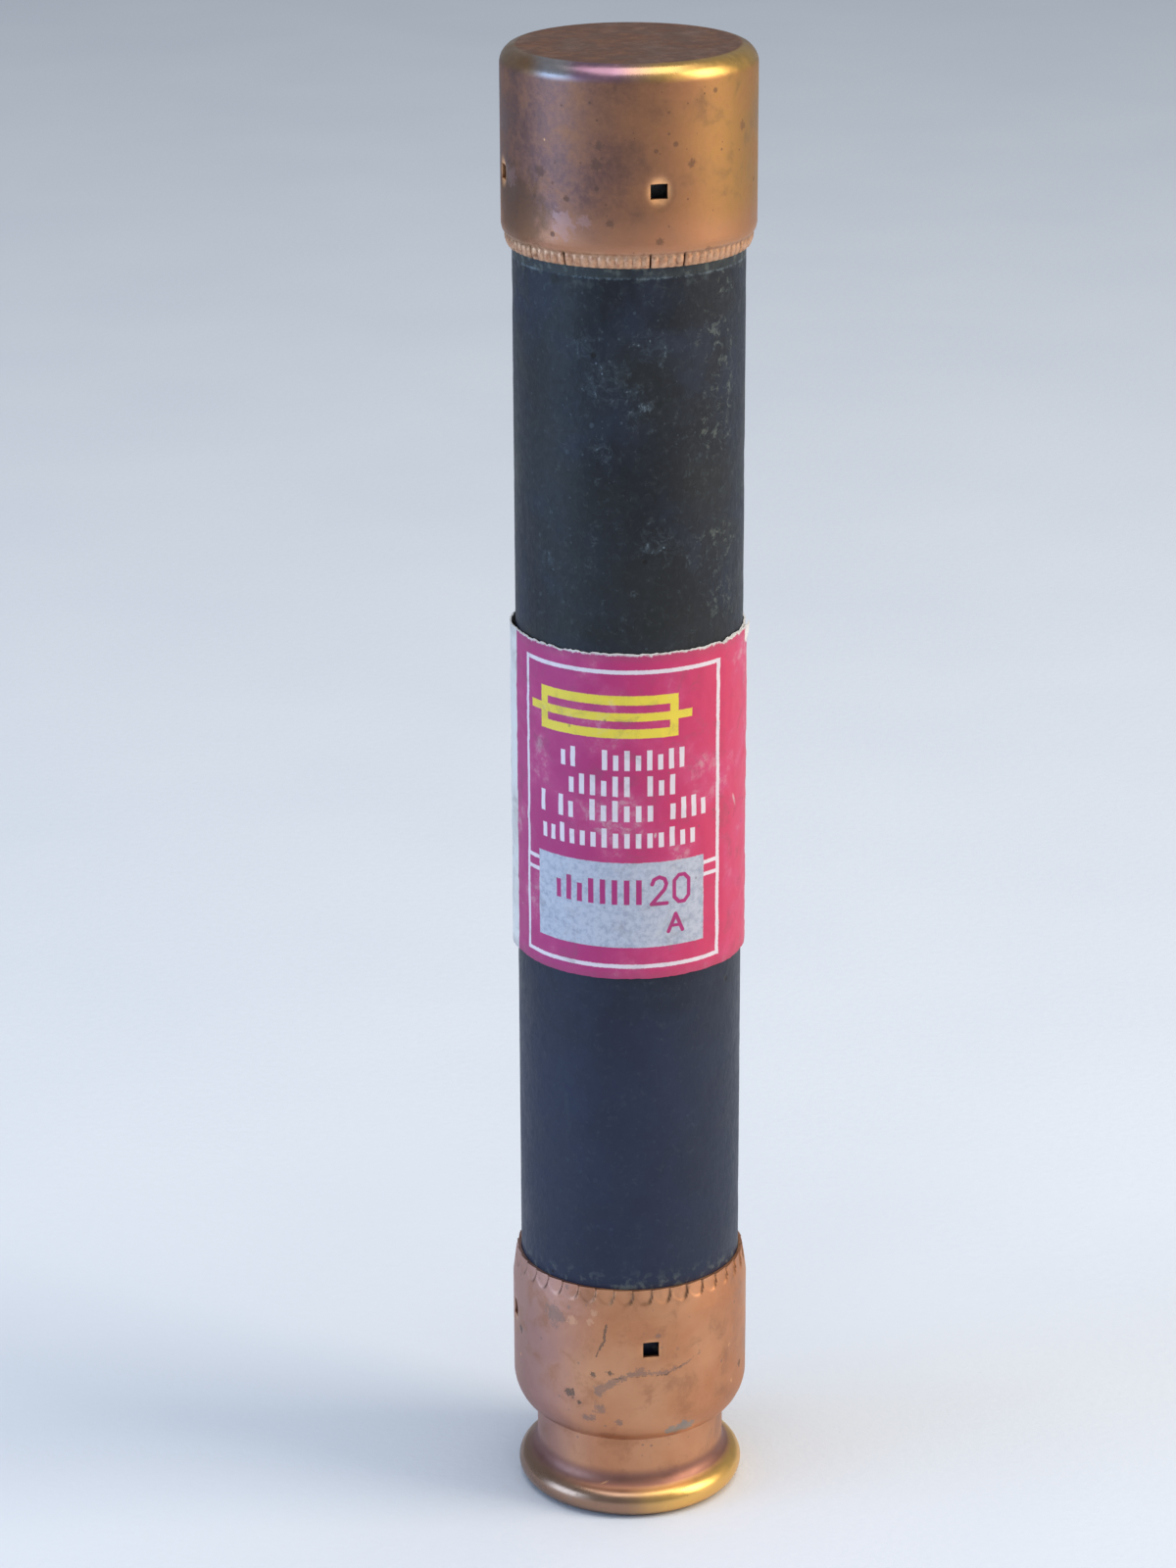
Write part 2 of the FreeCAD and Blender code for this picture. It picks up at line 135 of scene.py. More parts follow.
for sign, operation in (("add", "ADD"), ("sub", "SUBTRACT"), ("mul", "MULTIPLY"),
                        ("truediv", "DIVIDE"), ("pow", "POWER")):
    setattr(bpy.types.NodeSocket, f"__{sign}__", arithmetic(operation))
    setattr(bpy.types.NodeSocket, f"__r{sign}__", arithmetic(operation, swapped=True))


bpy.types.NodeSocket.__abs__ = lambda own: (vector_calc if is_vector(own) else calc)("ABSOLUTE", own)


def fade(value, low, high, start=0.0, end=1.0):
    """Smooth step: start where the value is low or less, end where it is high or more."""
    return add(value.id_data, "ShaderNodeMapRange",
               {"Value": value, "From Min": low, "From Max": high, "To Min": start, "To Max": end},
               interpolation_type="SMOOTHSTEP").outputs[0]


def mixed(amount, first, second):
    """Colour that turns from first to second as the amount goes from 0 to 1."""
    return add(amount.id_data, "ShaderNodeMix", {0: amount, 6: first, 7: second},
               data_type="RGBA").outputs[2]


def noise(place, size, detail=2.0, roughness=0.5, distortion=0.0):
    """Cloudy noise from 0 to 1 whose cells are about this size."""
    return add(place.id_data, "ShaderNodeTexNoise",
               {"Vector": place, "Scale": 1 / size, "Detail": detail, "Roughness": roughness,
                "Distortion": distortion}).outputs[0]


def start_material(name):
    """Material with a Principled shader, and its place on the fuse in millimetres."""
    material = bpy.data.materials.new(name)
    material.use_nodes = True
    tree = material.node_tree
    tree.nodes.clear()
    shader = add(tree, "ShaderNodeBsdfPrincipled")
    add(tree, "ShaderNodeOutputMaterial", {"Surface": shader.outputs[0]})
    return material, tree, shader, add(tree, "ShaderNodeTexCoord").outputs["Object"] * (1 / mm)


def finish_shader(shader, colour, rough, height, bump, **others):
    """Wires a shader. The bump is the height in millimetres that a height of 1 stands for."""
    raised = add(shader.id_data, "ShaderNodeBump",
                 {"Height": height, "Distance": bump * mm, "Strength": 1.0}).outputs[0]
    wire_up(shader, {"Base Color": colour, "Roughness": rough, "Normal": raised})
    wire_up(shader, {name.replace("_", " "): value for name, value in others.items()})


floor_size = 8.0
card_tint = tint(224, 230, 240)
card_shade = tint(214, 221, 234)

card, tree, shader, place = start_material("pale_card")
clouds = noise(place, 45.0, 3.0)
tooth = noise(place, 0.9, 4.0, 0.6)
finish_shader(shader, mixed(clouds, card_tint, card_shade), fade(tooth, 0.3, 0.7, 0.62, 0.8),
              tooth, 0.05)

floor_mesh = bpy.data.meshes.new("floor")
half = floor_size / 2
floor_mesh.from_pydata([(-half, -half, 0), (half, -half, 0), (half, half, 0), (-half, half, 0)],
                       [], [(0, 1, 2, 3)])
floor_mesh.materials.append(card)
floor = bpy.data.objects.new("floor", floor_mesh)
bpy.context.scene.collection.objects.link(floor)

world = bpy.data.worlds.new("studio")
world.use_nodes = True
world.node_tree.nodes["Background"].inputs["Color"].default_value = (0.82, 0.91, 1.0, 1.0)
world.node_tree.nodes["Background"].inputs["Strength"].default_value = 0.34
bpy.context.scene.world = world


def softbox(name, place, aim, width, height, power, colour):
    """Rectangular area light; place and aim are in metres."""
    data = bpy.data.lights.new(name, "AREA")
    data.shape = "RECTANGLE"
    data.size, data.size_y = width, height
    data.energy = power
    data.color = colour
    light = bpy.data.objects.new(name, data)
    light.location = place
    light.rotation_mode = "QUATERNION"
    light.rotation_quaternion = (Vector(aim) - Vector(place)).to_track_quat("-Z", "Y")
    bpy.context.scene.collection.objects.link(light)


softbox("warm_softbox", (0.60, -0.15, 0.40), (0, 0, 0.06), 0.32, 0.55, 3.7, (1.0, 0.88, 0.70))
softbox("cool_softbox", (-0.62, -0.22, 0.18), (0, 0, 0.04), 0.40, 0.4, 2.4, (0.44, 0.68, 1.0))
softbox("top_panel", (0.05, -0.15, 0.95), (0, 0, 0.05), 0.9, 0.7, 5.2, (1.0, 0.985, 0.96))

# ---- Fuse tube ----
# A length of vulcanised fibre tube, charcoal black, wound and pressed, with a dull worn skin. It
# has a blind pocket for each stake of the two ferrules, which hold on to it.
tube_radius = 9.45
tube_bore = 7.1
tube_low, tube_high = 10.8, 124.4
tube_open_low, tube_open_high = 22.1, 111.0    # the stretch between the ferrules' lips
stake_count = 4
stake_width = 1.4
stake_wall = 0.3               # ferrule metal folded into the pocket, with a little room
stake_depth = 0.56
plain_stake = {"height": 1.2, "z": 117.15, "first": 11.7}
rejection_stake = {"height": 1.4, "z": 16.6, "first": 8.8}
path_radius = 1.0              # ring that every outline is swept along


def above(value, limit):
    """1 where the value is over the limit, and 0 elsewhere."""
    return calc("GREATER_THAN", value, limit)


def direction(x, y, z):
    """Vector socket made of three numbers or sockets."""
    return add(tree_of(x, y, z), "ShaderNodeCombineXYZ", {"X": x, "Y": y, "Z": z}).outputs[0]


def parts_of(vector):
    """X, Y and Z of a vector socket."""
    return add(vector.id_data, "ShaderNodeSeparateXYZ", {0: vector}).outputs


def straight(start, end, step):
    """Evenly spaced points from start to end."""
    start, end = Vector(start), Vector(end)
    count = max(1, round((end - start).length / step))
    return [start.lerp(end, i / count) for i in range(count + 1)]


def legs(start, *ends):
    """Points along straight legs, each to (radius, height) in steps of the third number."""
    points = []
    for *end, step in ends:
        points += straight(start, end, step)
        start = end
    return points


def bend(centre, radius, start_angle, end_angle, step):
    """Evenly spaced points on a circular arc."""
    count = max(2, round(abs(math.radians(end_angle - start_angle)) * radius / step))
    turns = [math.radians(start_angle + (end_angle - start_angle) * i / count)
             for i in range(count + 1)]
    return [Vector((centre[0] + radius * math.cos(a), centre[1] + radius * math.sin(a)))
            for a in turns]


def outline_mesh(name, runs, closed):
    """Chain of edges through the (radius, height) points of the runs, ready to be turned."""
    points = []
    for point in (p for run in runs for p in run):
        if not points or (point - points[-1]).length > 1e-4:
            points.append(point)
    if closed and (points[0] - points[-1]).length < 1e-4:
        points.pop()
    edges = [(i, i + 1) for i in range(len(points) - 1)]
    if closed:
        edges.append((len(points) - 1, 0))
    mesh = bpy.data.meshes.new(name)
    mesh.from_pydata([((r - path_radius) * mm, -z * mm, 0) for r, z in points], edges, [])
    return mesh


def start_shape(name, sizes):
    """Geometry Nodes tree that has one named input for each size."""
    tree = bpy.data.node_groups.new(name, "GeometryNodeTree")
    for side in ("INPUT", "OUTPUT"):
        tree.interface.new_socket("Geometry", in_out=side, socket_type="NodeSocketGeometry")
    for label, value in sizes.items():
        kind = "NodeSocketInt" if isinstance(value, int) else "NodeSocketFloat"
        tree.interface.new_socket(label, in_out="INPUT", socket_type=kind)
    return tree, add(tree, "NodeGroupInput").outputs


def end_shape(tree, geometry, material, sharp=48.0):
    """Shades the geometry smooth up to its sharp edges, and gives it its material."""
    smooth = shaped(tree, "SetShadeSmooth", {"Geometry": geometry, "Shade Smooth": True}, domain="FACE")
    angle = add(tree, "GeometryNodeInputMeshEdgeAngle").outputs["Unsigned Angle"]
    crease = above(angle, math.radians(sharp))
    creased = shaped(tree, "SetShadeSmooth", {"Geometry": smooth, "Selection": crease,
                                              "Shade Smooth": False}, domain="EDGE")
    whole = shaped(tree, "RealizeInstances", {0: creased})
    painted = add(tree, "GeometryNodeSetMaterial", {"Geometry": whole, "Material": material})
    add(tree, "NodeGroupOutput", {0: painted.outputs[0]})


def shaped_piece(name, tree, sizes, start=None):
    """Runs a tree on its start mesh, and keeps the result as a plain mesh."""
    piece = bpy.data.objects.new(name, start or bpy.data.meshes.new(name + "_start"))
    bpy.context.scene.collection.objects.link(piece)
    shape = piece.modifiers.new("shape", "NODES")
    shape.node_group = tree
    for socket in tree.interface.items_tree:
        if socket.in_out == "INPUT" and socket.name in sizes:
            shape[socket.identifier] = sizes[socket.name]
    evaluated = piece.evaluated_get(bpy.context.evaluated_depsgraph_get())
    mesh = bpy.data.meshes.new_from_object(evaluated)
    mesh.name = name
    finish = next(material for material in mesh.materials if material)
    mesh.materials.clear()
    mesh.materials.append(finish)
    mesh.polygons.foreach_set("material_index", [0] * len(mesh.polygons))
    piece.modifiers.clear()
    piece.data = mesh
    return piece


def shaped(tree, kind, inputs=None, **settings):
    """Adds a Geometry node, and gives its first output."""
    return add(tree, "GeometryNode" + kind, inputs, **settings).outputs[0]


def swept_wall(tree, outline, columns):
    """Turns the outline round the Z axis, and closes it where it meets the axis."""
    profile = shaped(tree, "MeshToCurve", {"Mesh": outline})
    ring = shaped(tree, "CurvePrimitiveCircle", {"Resolution": columns, "Radius": path_radius * mm})
    wall = add(tree, "GeometryNodeCurveToMesh", {"Curve": ring, "Profile Curve": profile})
    return shaped(tree, "MergeByDistance", {"Geometry": wall.outputs[0], "Distance": 0.002 * mm})


def stake_cutters(tree, radius, inner, width, height, z, first):
    """Four radial blocks, from `inner` outwards through the wall, that cut the stake holes."""
    points = shaped(tree, "Points", {"Count": stake_count})
    index = shaped(tree, "InputIndex")
    turn = index * (math.tau / stake_count) + math.radians(first)
    depth = radius + 1.0 - inner
    middle = (inner + depth / 2) * mm
    place = direction(calc("SINE", turn) * middle, calc("COSINE", turn) * -middle, z * mm)
    placed = add(tree, "GeometryNodeSetPosition", {"Geometry": points, "Position": place})
    block = shaped(tree, "MeshCube", {"Size": (width * mm, depth * mm, height * mm)})
    facing = direction(0.0, 0.0, turn)
    blocks = add(tree, "GeometryNodeInstanceOnPoints",
                 {"Points": placed.outputs[0], "Instance": block, "Rotation": facing})
    return shaped(tree, "RealizeInstances", {0: blocks.outputs[0]})


def cut_out(body, cutter):
    return shaped(body.id_data, "MeshBoolean", {"Mesh 1": body, "Mesh 2": cutter},
                  operation="DIFFERENCE", solver="EXACT")


def polar_place(tree):
    """Turn in degrees from the front, radius, height (both in mm), outward direction, and place."""
    position = shaped(tree, "InputPosition")
    place = position * (1 / mm)
    parts = parts_of(place)
    turn = calc("ARCTAN2", parts["X"], parts["Y"] * -1.0) * (180 / math.pi)
    sideways = direction(parts["X"], parts["Y"], 0.0)
    radius = vector_calc("LENGTH", sideways)
    return (turn, radius, parts["Z"], vector_calc("NORMALIZE", sideways), place)


def pushed(geometry, outward, amount):
    """Moves points out along their radius by an amount in mm."""
    return shaped(geometry.id_data, "SetPosition",
                  {"Geometry": geometry, "Offset": outward * (amount * mm)})


def marked(geometry, name, value):
    """Stores a number on every point, for the material to read."""
    return shaped(geometry.id_data, "StoreNamedAttribute",
                  {"Geometry": geometry, "Name": name, "Value": value}, data_type="FLOAT",
                  domain="POINT")


origin = (0.0, 0.0, 0.0)


def start_group(name, inputs):
    """Shader group with named inputs. A tuple makes a vector input, a number a plain one."""
    group = bpy.data.node_groups.new(name, "ShaderNodeTree")
    for label, value in inputs.items():
        kind = "NodeSocketVector" if isinstance(value, tuple) else "NodeSocketFloat"
        socket = group.interface.new_socket(label, in_out="INPUT", socket_type=kind)
        socket.default_value = value
    group.interface.new_socket("Mask", in_out="OUTPUT", socket_type="NodeSocketFloat")
    return group, add(group, "NodeGroupInput").outputs


def effect(group, **inputs):
    """Places a shader group in a tree, and gives what it puts out."""
    named = {name.replace("_", " "): value for name, value in inputs.items()}
    return add(tree_of(*inputs.values()), "ShaderNodeGroup", named, node_tree=group).outputs[0]


def most(first, *others):
    """The highest of several masks."""
    for other in others:
        first = calc("MAXIMUM", first, other)
    return first


def coated(colour, *coats):
    """Colour under coats, each a mask and the colour that shows where the mask is 1."""
    for mask, coat in coats:
        colour = mixed(mask, colour, coat)
    return colour


def wall_point(degrees, radius, height):
    """Point on a round wall, in millimetres."""
    a = math.radians(degrees)
    return (radius * math.sin(a), -radius * math.cos(a), height)


# Small marks in cells of the given spacing: round, or drawn out where the place is stretched.
specks, source = start_group("specks", {"Place": origin, "Spacing": 1.0, "Size": 0.3,
                                        "Share": 0.5})
cells = add(specks, "ShaderNodeTexVoronoi",
            {"Vector": source["Place"], "Scale": 1.0 / source["Spacing"], "Randomness": 1.0},
            feature="F1")
lots = add(specks, "ShaderNodeSeparateColor", {0: cells.outputs["Color"]}).outputs
reach = source["Size"] * (lots["Green"] * 0.75 + 0.25)
chosen = calc("LESS_THAN", lots["Red"], source["Share"])
edge = 1.0 - cells.outputs["Distance"] / reach
add(specks, "NodeGroupOutput", {0: chosen * fade(edge, 0.0, 0.5)})



def speckle(place, spacing, size, share):
    return effect(specks, Place=place, Spacing=spacing, Size=size, Share=share)


# Fine scratches: specks in a place that is turned, then squeezed across the scratch.
scratches, source = start_group("scratches", {"Place": origin, "Turn": origin,
                                              "Spacing": 4.0, "Stretch": 0.04, "Size": 0.3,
                                              "Share": 0.5})
ripple = add(scratches, "ShaderNodeTexNoise", {"Vector": source["Place"], "Scale": 0.25,
                                               "Detail": 1.0}).outputs["Color"]
waved = source["Place"] + ripple * 1.6
turned = add(scratches, "ShaderNodeVectorRotate", {"Vector": waved, "Rotation": source["Turn"]},
             rotation_type="EULER_XYZ").outputs[0]
narrow = turned * direction(source["Stretch"], 1.0, 1.0)
add(scratches, "NodeGroupOutput", {0: speckle(narrow, source["Spacing"], source["Size"],
                                              source["Share"])})



def scratch(place, turn, spacing, stretch, size, share):
    return effect(scratches, Place=place, Turn=turn, Spacing=spacing, Stretch=stretch, Size=size,
                  Share=share)


# One ragged blotch round a given centre.
blotch, source = start_group("blotch", {"Place": origin, "Centre": origin,
                                        "Radius": 1.0, "Ragged": 0.5})
ripple_scale = 0.8 + 1.3 / source["Radius"]
ripple = add(blotch, "ShaderNodeTexNoise", {"Vector": source["Place"], "Scale": ripple_scale,
                                            "Detail": 4.0, "Roughness": 0.65}).outputs[0]
gap = vector_calc("DISTANCE", source["Place"], source["Centre"]) / source["Radius"]
gap = gap + source["Ragged"] * (ripple * 4.0 - 2.0)
add(blotch, "NodeGroupOutput", {0: fade(gap, 0.55, 1.05, 1.0, 0.0)})


def spots(place, radius, ragged, *places):
    """Ragged blotches on a wall of that radius, each at (degrees, height, size)."""
    return most(*(effect(blotch, Place=place, Centre=wall_point(degrees, radius, level),
                         Radius=spread, Ragged=ragged) for degrees, level, spread in places))


fibre_black = tint(12, 16, 26)
fibre_worn = tint(30, 38, 56)
fibre_brown = tint(34, 36, 34)
fibre_painted_cool_light = tint(38, 48, 78)
dust_tint = tint(128, 146, 160)
scuff_tint = tint(112, 120, 112)
soot_tint = tint(14, 14, 16)

tube_fibre, tree, shader, place = start_material("tube_fibre")
along = place * (1.0, 1.0, 0.6)
grain = noise(along, 0.5, 5.0, 0.65)
cloud = noise(place, 5.5, 5.0, 0.6, 0.4)
broad = noise(place, 16.0, 2.0)
height_up = parts_of(place)["Z"]
upper = fade(height_up, 70.0, 88.0)
crumbs = noise(place, 0.7, 5.0, 0.72, 0.6)
dust = most(speckle(place, 1.1, 0.27, 0.4), speckle(place, 0.5, 0.28, 0.35),
            fade(crumbs, 0.58, 0.68) * 0.7)
patch = spots(place, tube_radius, 0.55, (-13, 101.7, 2.2), (2, 100.2, 1.9), (-15, 96.0, 1.2),
              (-24, 104.6, 1.4), (9, 104.4, 1.8), (13, 88.3, 2.0), (-46, 86.4, 0.9), (165, 96.0, 3.4),
              (-120, 88.0, 2.6))
patch = patch * 0.68 + 0.14
dusty = dust * fade(grain, 0.4, 0.6) * patch * (upper * 0.7 + 0.3)
film = patch * upper * fade(crumbs, 0.4, 0.62)
smears = most(scratch(place, (0.0, math.radians(90), 0.1), 2.2, 0.12, 0.26, 0.35),
              fade(crumbs, 0.5, 0.62) * 0.6)
right_side = spots(place, tube_radius, 0.5, (51, 109.0, 1.6), (47, 104.6, 2.4), (51, 100.6, 2.6),
                   (46, 97.0, 2.4), (49, 87.5, 2.6), (53, 82.5, 2.4), (-98, 100.0, 4.0))
smeared = smears * (right_side * 0.6 + 0.06) * fade(grain, 0.38, 0.58)
near_lips = most(fade(height_up, 108.8, 111.0), fade(height_up, 24.2, 22.0))
residue = near_lips * fade(noise(place, 0.7, 4.0), 0.5, 0.68)
pale_ring = fade(height_up, 109.95, 110.05) * fade(height_up, 110.25, 110.1) * fade(crumbs, 0.42, 0.6)
glued = fade(height_up, 110.0, 110.2) * fade(grain, 0.2, 0.6)
nicks = speckle(place, 3.6, 0.16, 0.35)
# Painted light: the lower tube is mixed towards a blue tint, standing in for the cool light that falls
# on it from the left.
colour = coated(
    mixed(fade(cloud, 0.35, 0.75), fibre_black, fibre_worn),
    (fade(broad, 0.45, 0.7) * 0.55, fibre_brown),
    (fade(height_up, 60.0, 40.0, 0.0, 0.5), fibre_painted_cool_light), (film * 0.1, dust_tint),
    (dusty, dust_tint), (smeared, scuff_tint), (residue * 0.4, scuff_tint),
    (pale_ring * 0.36, dust_tint), (glued * 0.14, scuff_tint), (nicks, soot_tint))
rough = fade(grain * 0.5 + cloud * 0.5, 0.3, 0.7, 0.4, 0.62)
skin = grain * 0.6 + nicks * -0.5
finish_shader(shader, colour, rough, skin, 0.07, Specular_IOR_Level=0.34)

tube_sizes = {"Columns": 240, "Grain height": 0.035, "Dent depth": 0.05}
tree, size = start_shape("turned_tube", tube_sizes)
wall = swept_wall(tree, size["Geometry"], size["Columns"])
for stake in (plain_stake, rejection_stake):
    cutter = stake_cutters(tree, tube_radius, tube_radius - stake_depth, stake_width + 2 * stake_wall,
                           stake["height"] + 2 * stake_wall, stake["z"], stake["first"])
    wall = cut_out(wall, cutter)
turn, radius, height, outward, place = polar_place(tree)
skin = above(radius, tube_radius - 0.05)
open_skin = fade(height, tube_open_low - 0.3, tube_open_low + 0.4) * fade(height,
                                                                          tube_open_high + 0.3,
                                                                          tube_open_high - 0.4)
along = place * (1.0, 1.0, 0.4)
fine = noise(along, 0.9, 3.0, 0.6) * size["Grain height"]
dents = fade(noise(place, 5.0, 2.0), 0.5, 0.75) * size["Dent depth"]
lower = (fine + dents) * -1.0
wall = pushed(wall, outward, skin * open_skin * lower)
end_shape(tree, wall, tube_fibre)

outline = outline_mesh("tube_outline", [
    legs((tube_bore, tube_high), (tube_radius, tube_high, 0.8), (tube_radius, 112.0, 2.0),
         (tube_radius, 78.5, 0.3), (tube_radius, 51.5, 2.0), (tube_radius, 21.0, 0.3),
         (tube_radius, tube_low, 2.0), (tube_bore, tube_low, 0.8), (tube_bore, tube_high, 10.0))
], closed=True)
fuse_tube = shaped_piece("fuse_tube_skin", tree, tube_sizes, outline)
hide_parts("fuse_tube")
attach(fuse_tube, "casing")

# ---- Washers, gaskets and plugs at the tube's ends ----
# A stamped brass disc closes each end of the bore, on a thin ring of red fibre. Sand is poured in
# through its round hole, which a small fibre plug then closes.


def plain_finish(name, light, dark, cell, rough, metal=0.0, bump=0.02, squeeze=(1.0, 1.0, 1.0)):
    """Material for an inner piece: clouded colour, fine grain, and small marks of handling."""
    material, tree, shader, place = start_material(name)
    stretched = place * squeeze
    cloud = noise(stretched, cell, 5.0, 0.6)
    grain = noise(stretched, cell / 6, 4.0, 0.65)
    marks = speckle(place, cell, 0.2, 0.35)
    colour = mixed(fade(cloud, 0.35, 0.65), light, dark)
    colour = mixed(marks * 0.5, colour, dark)
    level = fade(grain, 0.25, 0.75, rough - 0.08, rough + 0.08)
    finish_shader(shader, colour, level, grain, bump, Metallic=metal)
    return material


def dress(material, *nodes):
    """Gives CAD nodes, whose shape is right as it is, a material."""
    for node in nodes:
        for place in cad[node].material_slots:
            place.material = material


washer_brass = plain_finish("washer_brass", tint(206, 172, 104), tint(176, 138, 78), 1.6, 0.36, 1.0,
                            0.01)
gasket_fibre = plain_finish("gasket_fibre", tint(136, 62, 48), tint(108, 46, 38), 1.2, 0.72)
plug_fibre = plain_finish("plug_fibre", tint(176, 160, 132), tint(146, 128, 100), 0.8, 0.75)
dress(washer_brass, "upper_end_washer", "lower_end_washer")
dress(gasket_fibre, "upper_gasket", "lower_gasket")
dress(plug_fibre, "upper_fill_plug", "lower_fill_plug")

# ---- Short-circuit links ----
# Copper strip with rows of punched holes, whose narrow necks melt first. Each tail is bent over on
# its washer under a pool of tin solder, and a pair of copper rivets holds the other end.
link_copper = plain_finish("link_copper", tint(222, 146, 104), tint(190, 116, 80), 1.4, 0.32, 1.0,
                           0.008, (1.0, 1.0, 0.3))
tin_solder = plain_finish("tin_solder", tint(196, 198, 200), tint(150, 152, 156), 1.0, 0.34, 1.0, 0.03)
rivet_copper = plain_finish("rivet_copper", tint(214, 138, 98), tint(170, 100, 70), 0.6, 0.38, 1.0,
                            0.01)
dress(link_copper, "upper_short_circuit_link", "lower_short_circuit_link")
dress(tin_solder, "upper_link_solder", "lower_link_solder")
dress(rivet_copper, "heater_rivets", "anchor_rivets")

# ---- Quartz filler, partitions and liner ----
# Packed quartz sand fills the two outer chambers and smothers the arc. Two fibre discs and a thin
# fibre sleeve between them wall off the middle chamber, which holds no sand.
quartz_sand, tree, shader, place = start_material("quartz_sand")
grains = add(tree, "ShaderNodeTexVoronoi", {"Vector": place, "Scale": 2.6}, feature="F1")
grain_tone = add(tree, "ShaderNodeSeparateColor", {0: grains.outputs["Color"]}).outputs["Red"]
damp = noise(place, 5.0, 3.0)
colour = mixed(grain_tone, tint(226, 218, 202), tint(188, 176, 156))
colour = mixed(fade(damp, 0.5, 0.7) * 0.4, colour, tint(168, 158, 142))
rounded = 1.0 - grains.outputs["Distance"]
finish_shader(shader, colour, fade(grain_tone, 0.0, 1.0, 0.45, 0.8), rounded, 0.12)
dress(quartz_sand, "upper_quartz_filler", "lower_quartz_filler")

partition_fibre = plain_finish("partition_fibre", tint(150, 128, 98), tint(120, 98, 72), 1.8, 0.7)
liner_fibre = plain_finish("liner_fibre", tint(168, 150, 122), tint(140, 120, 94), 2.2, 0.68, 0.0, 0.02,
                           (1.0, 1.0, 0.3))
dress(partition_fibre, "upper_partition", "lower_partition")
dress(liner_fibre, "chamber_liner")

# ---- Overload mechanism ----
# A brass plunger is soldered into a copper block with an alloy that melts on a long overload. A
# stretched steel spring then pulls it up to the anchor's skirt, and the copper braid bulges.
absorber_copper = plain_finish("absorber_copper", tint(206, 132, 92), tint(158, 96, 66), 2.4, 0.4, 1.0,
                               0.012)
heater_alloy = plain_finish("heater_alloy", tint(156, 150, 144), tint(118, 112, 108), 1.2, 0.4, 1.0,
                            0.01, (1.0, 1.0, 0.3))
fusing_solder = plain_finish("fusing_solder", tint(176, 178, 182), tint(132, 134, 138), 0.7, 0.42, 1.0,
                             0.03)
plunger_brass = plain_finish("plunger_brass", tint(214, 180, 108), tint(182, 146, 82), 1.4, 0.3, 1.0,
                             0.008, (1.0, 1.0, 6.0))
anchor_brass = plain_finish("anchor_brass", tint(208, 174, 104), tint(176, 140, 80), 1.6, 0.34, 1.0,
                            0.01)
spring_steel = plain_finish("spring_steel", tint(168, 170, 174), tint(126, 128, 134), 0.7, 0.28, 1.0,
                            0.006)
shunt_braid = plain_finish("shunt_braid", tint(220, 150, 110), tint(168, 102, 72), 0.6, 0.4, 1.0, 0.01)
dress(absorber_copper, "heat_absorber")
dress(heater_alloy, "heater_strip")
dress(fusing_solder, "fusing_alloy")
dress(plunger_brass, "trigger_plunger")
dress(anchor_brass, "spring_anchor")

spring_low, spring_high = 62.8, 77.4
spring_sizes = {"Turns": 9.0, "Radius": 2.2, "Wire": 0.5, "Low": spring_low, "High": spring_high}
tree, size = start_shape("coiled_spring", spring_sizes)
length = (size["High"] - size["Low"]) * mm
radius = size["Radius"] * mm
coil = shaped(tree, "CurveSpiral", {"Resolution": 28, "Rotations": size["Turns"],
                                    "Start Radius": radius, "End Radius": radius, "Height": length})
foot = direction(0.0, 0.0, size["Low"] * mm)
coil = shaped(tree, "Transform", {"Geometry": coil, "Translation": foot})
parts = [coil]
for end in ("Low", "High"):
    level = size[end] * mm
    parts.append(shaped(tree, "CurvePrimitiveLine",
                        {"Start": direction(radius * -0.89, 0.0, level),
                         "End": direction(radius + 0.1 * mm, 0.0, level)}))
joined = add(tree, "GeometryNodeJoinGeometry")
for part in parts:
    tree.links.new(part, joined.inputs[0])
section = shaped(tree, "CurvePrimitiveCircle", {"Resolution": 12, "Radius": size["Wire"] * (mm / 2)})
wire = shaped(tree, "CurveToMesh", {"Curve": joined.outputs[0], "Profile Curve": section,
                                    "Fill Caps": True})
end_shape(tree, wire, spring_steel)
spring = shaped_piece("trigger_spring_coil", tree, spring_sizes)
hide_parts("trigger_spring")
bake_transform(spring)

shunt_path = [(-1.9, 59.8), (-3.8, 59.8), (-5.9, 61.6), (-5.9, 68.15), (-4.4, 76.0), (-4.4, 77.0),
              (-4.4, 79.6)]    # (y, z) along the braid's middle
shunt_sizes = {"Strands": 8, "Half width": 1.36, "Half thickness": 0.12, "Wire": 0.13, "Lay": 3.2}
tree, size = start_shape("flat_braid", shunt_sizes)
path = shaped(tree, "ResampleCurve", {"Curve": shaped(tree, "MeshToCurve", {"Mesh": size["Geometry"]}),
                                      "Count": 140})
way = add(tree, "GeometryNodeSplineParameter").outputs["Length"]
tangent = shaped(tree, "InputTangent")
across = (1.0, 0.0, 0.0)
normal = vector_calc("CROSS_PRODUCT", tangent, across)
lay = way * (math.tau / mm) / size["Lay"]
joined = add(tree, "GeometryNodeJoinGeometry")
for hand in (1.0, -1.0):
    copies = add(tree, "GeometryNodeDuplicateElements", {"Geometry": path, "Amount": size["Strands"]},
                 domain="SPLINE")
    share = copies.outputs[1] / size["Strands"]
    phase = share * math.tau + lay * hand
    wide = across * (calc("COSINE", phase) * (size["Half width"] * mm))
    thick = normal * (calc("SINE", phase) * (size["Half thickness"] * mm))
    laid = add(tree, "GeometryNodeSetPosition",
               {"Geometry": copies.outputs[0], "Offset": wide + thick})
    tree.links.new(laid.outputs[0], joined.inputs[0])
section = shaped(tree, "CurvePrimitiveCircle", {"Resolution": 6, "Radius": size["Wire"] * (mm / 2)})
strands = shaped(tree, "CurveToMesh", {"Curve": joined.outputs[0], "Profile Curve": section,
                                       "Fill Caps": True})
end_shape(tree, strands, shunt_braid, sharp=70.0)
path_mesh = bpy.data.meshes.new("shunt_path")
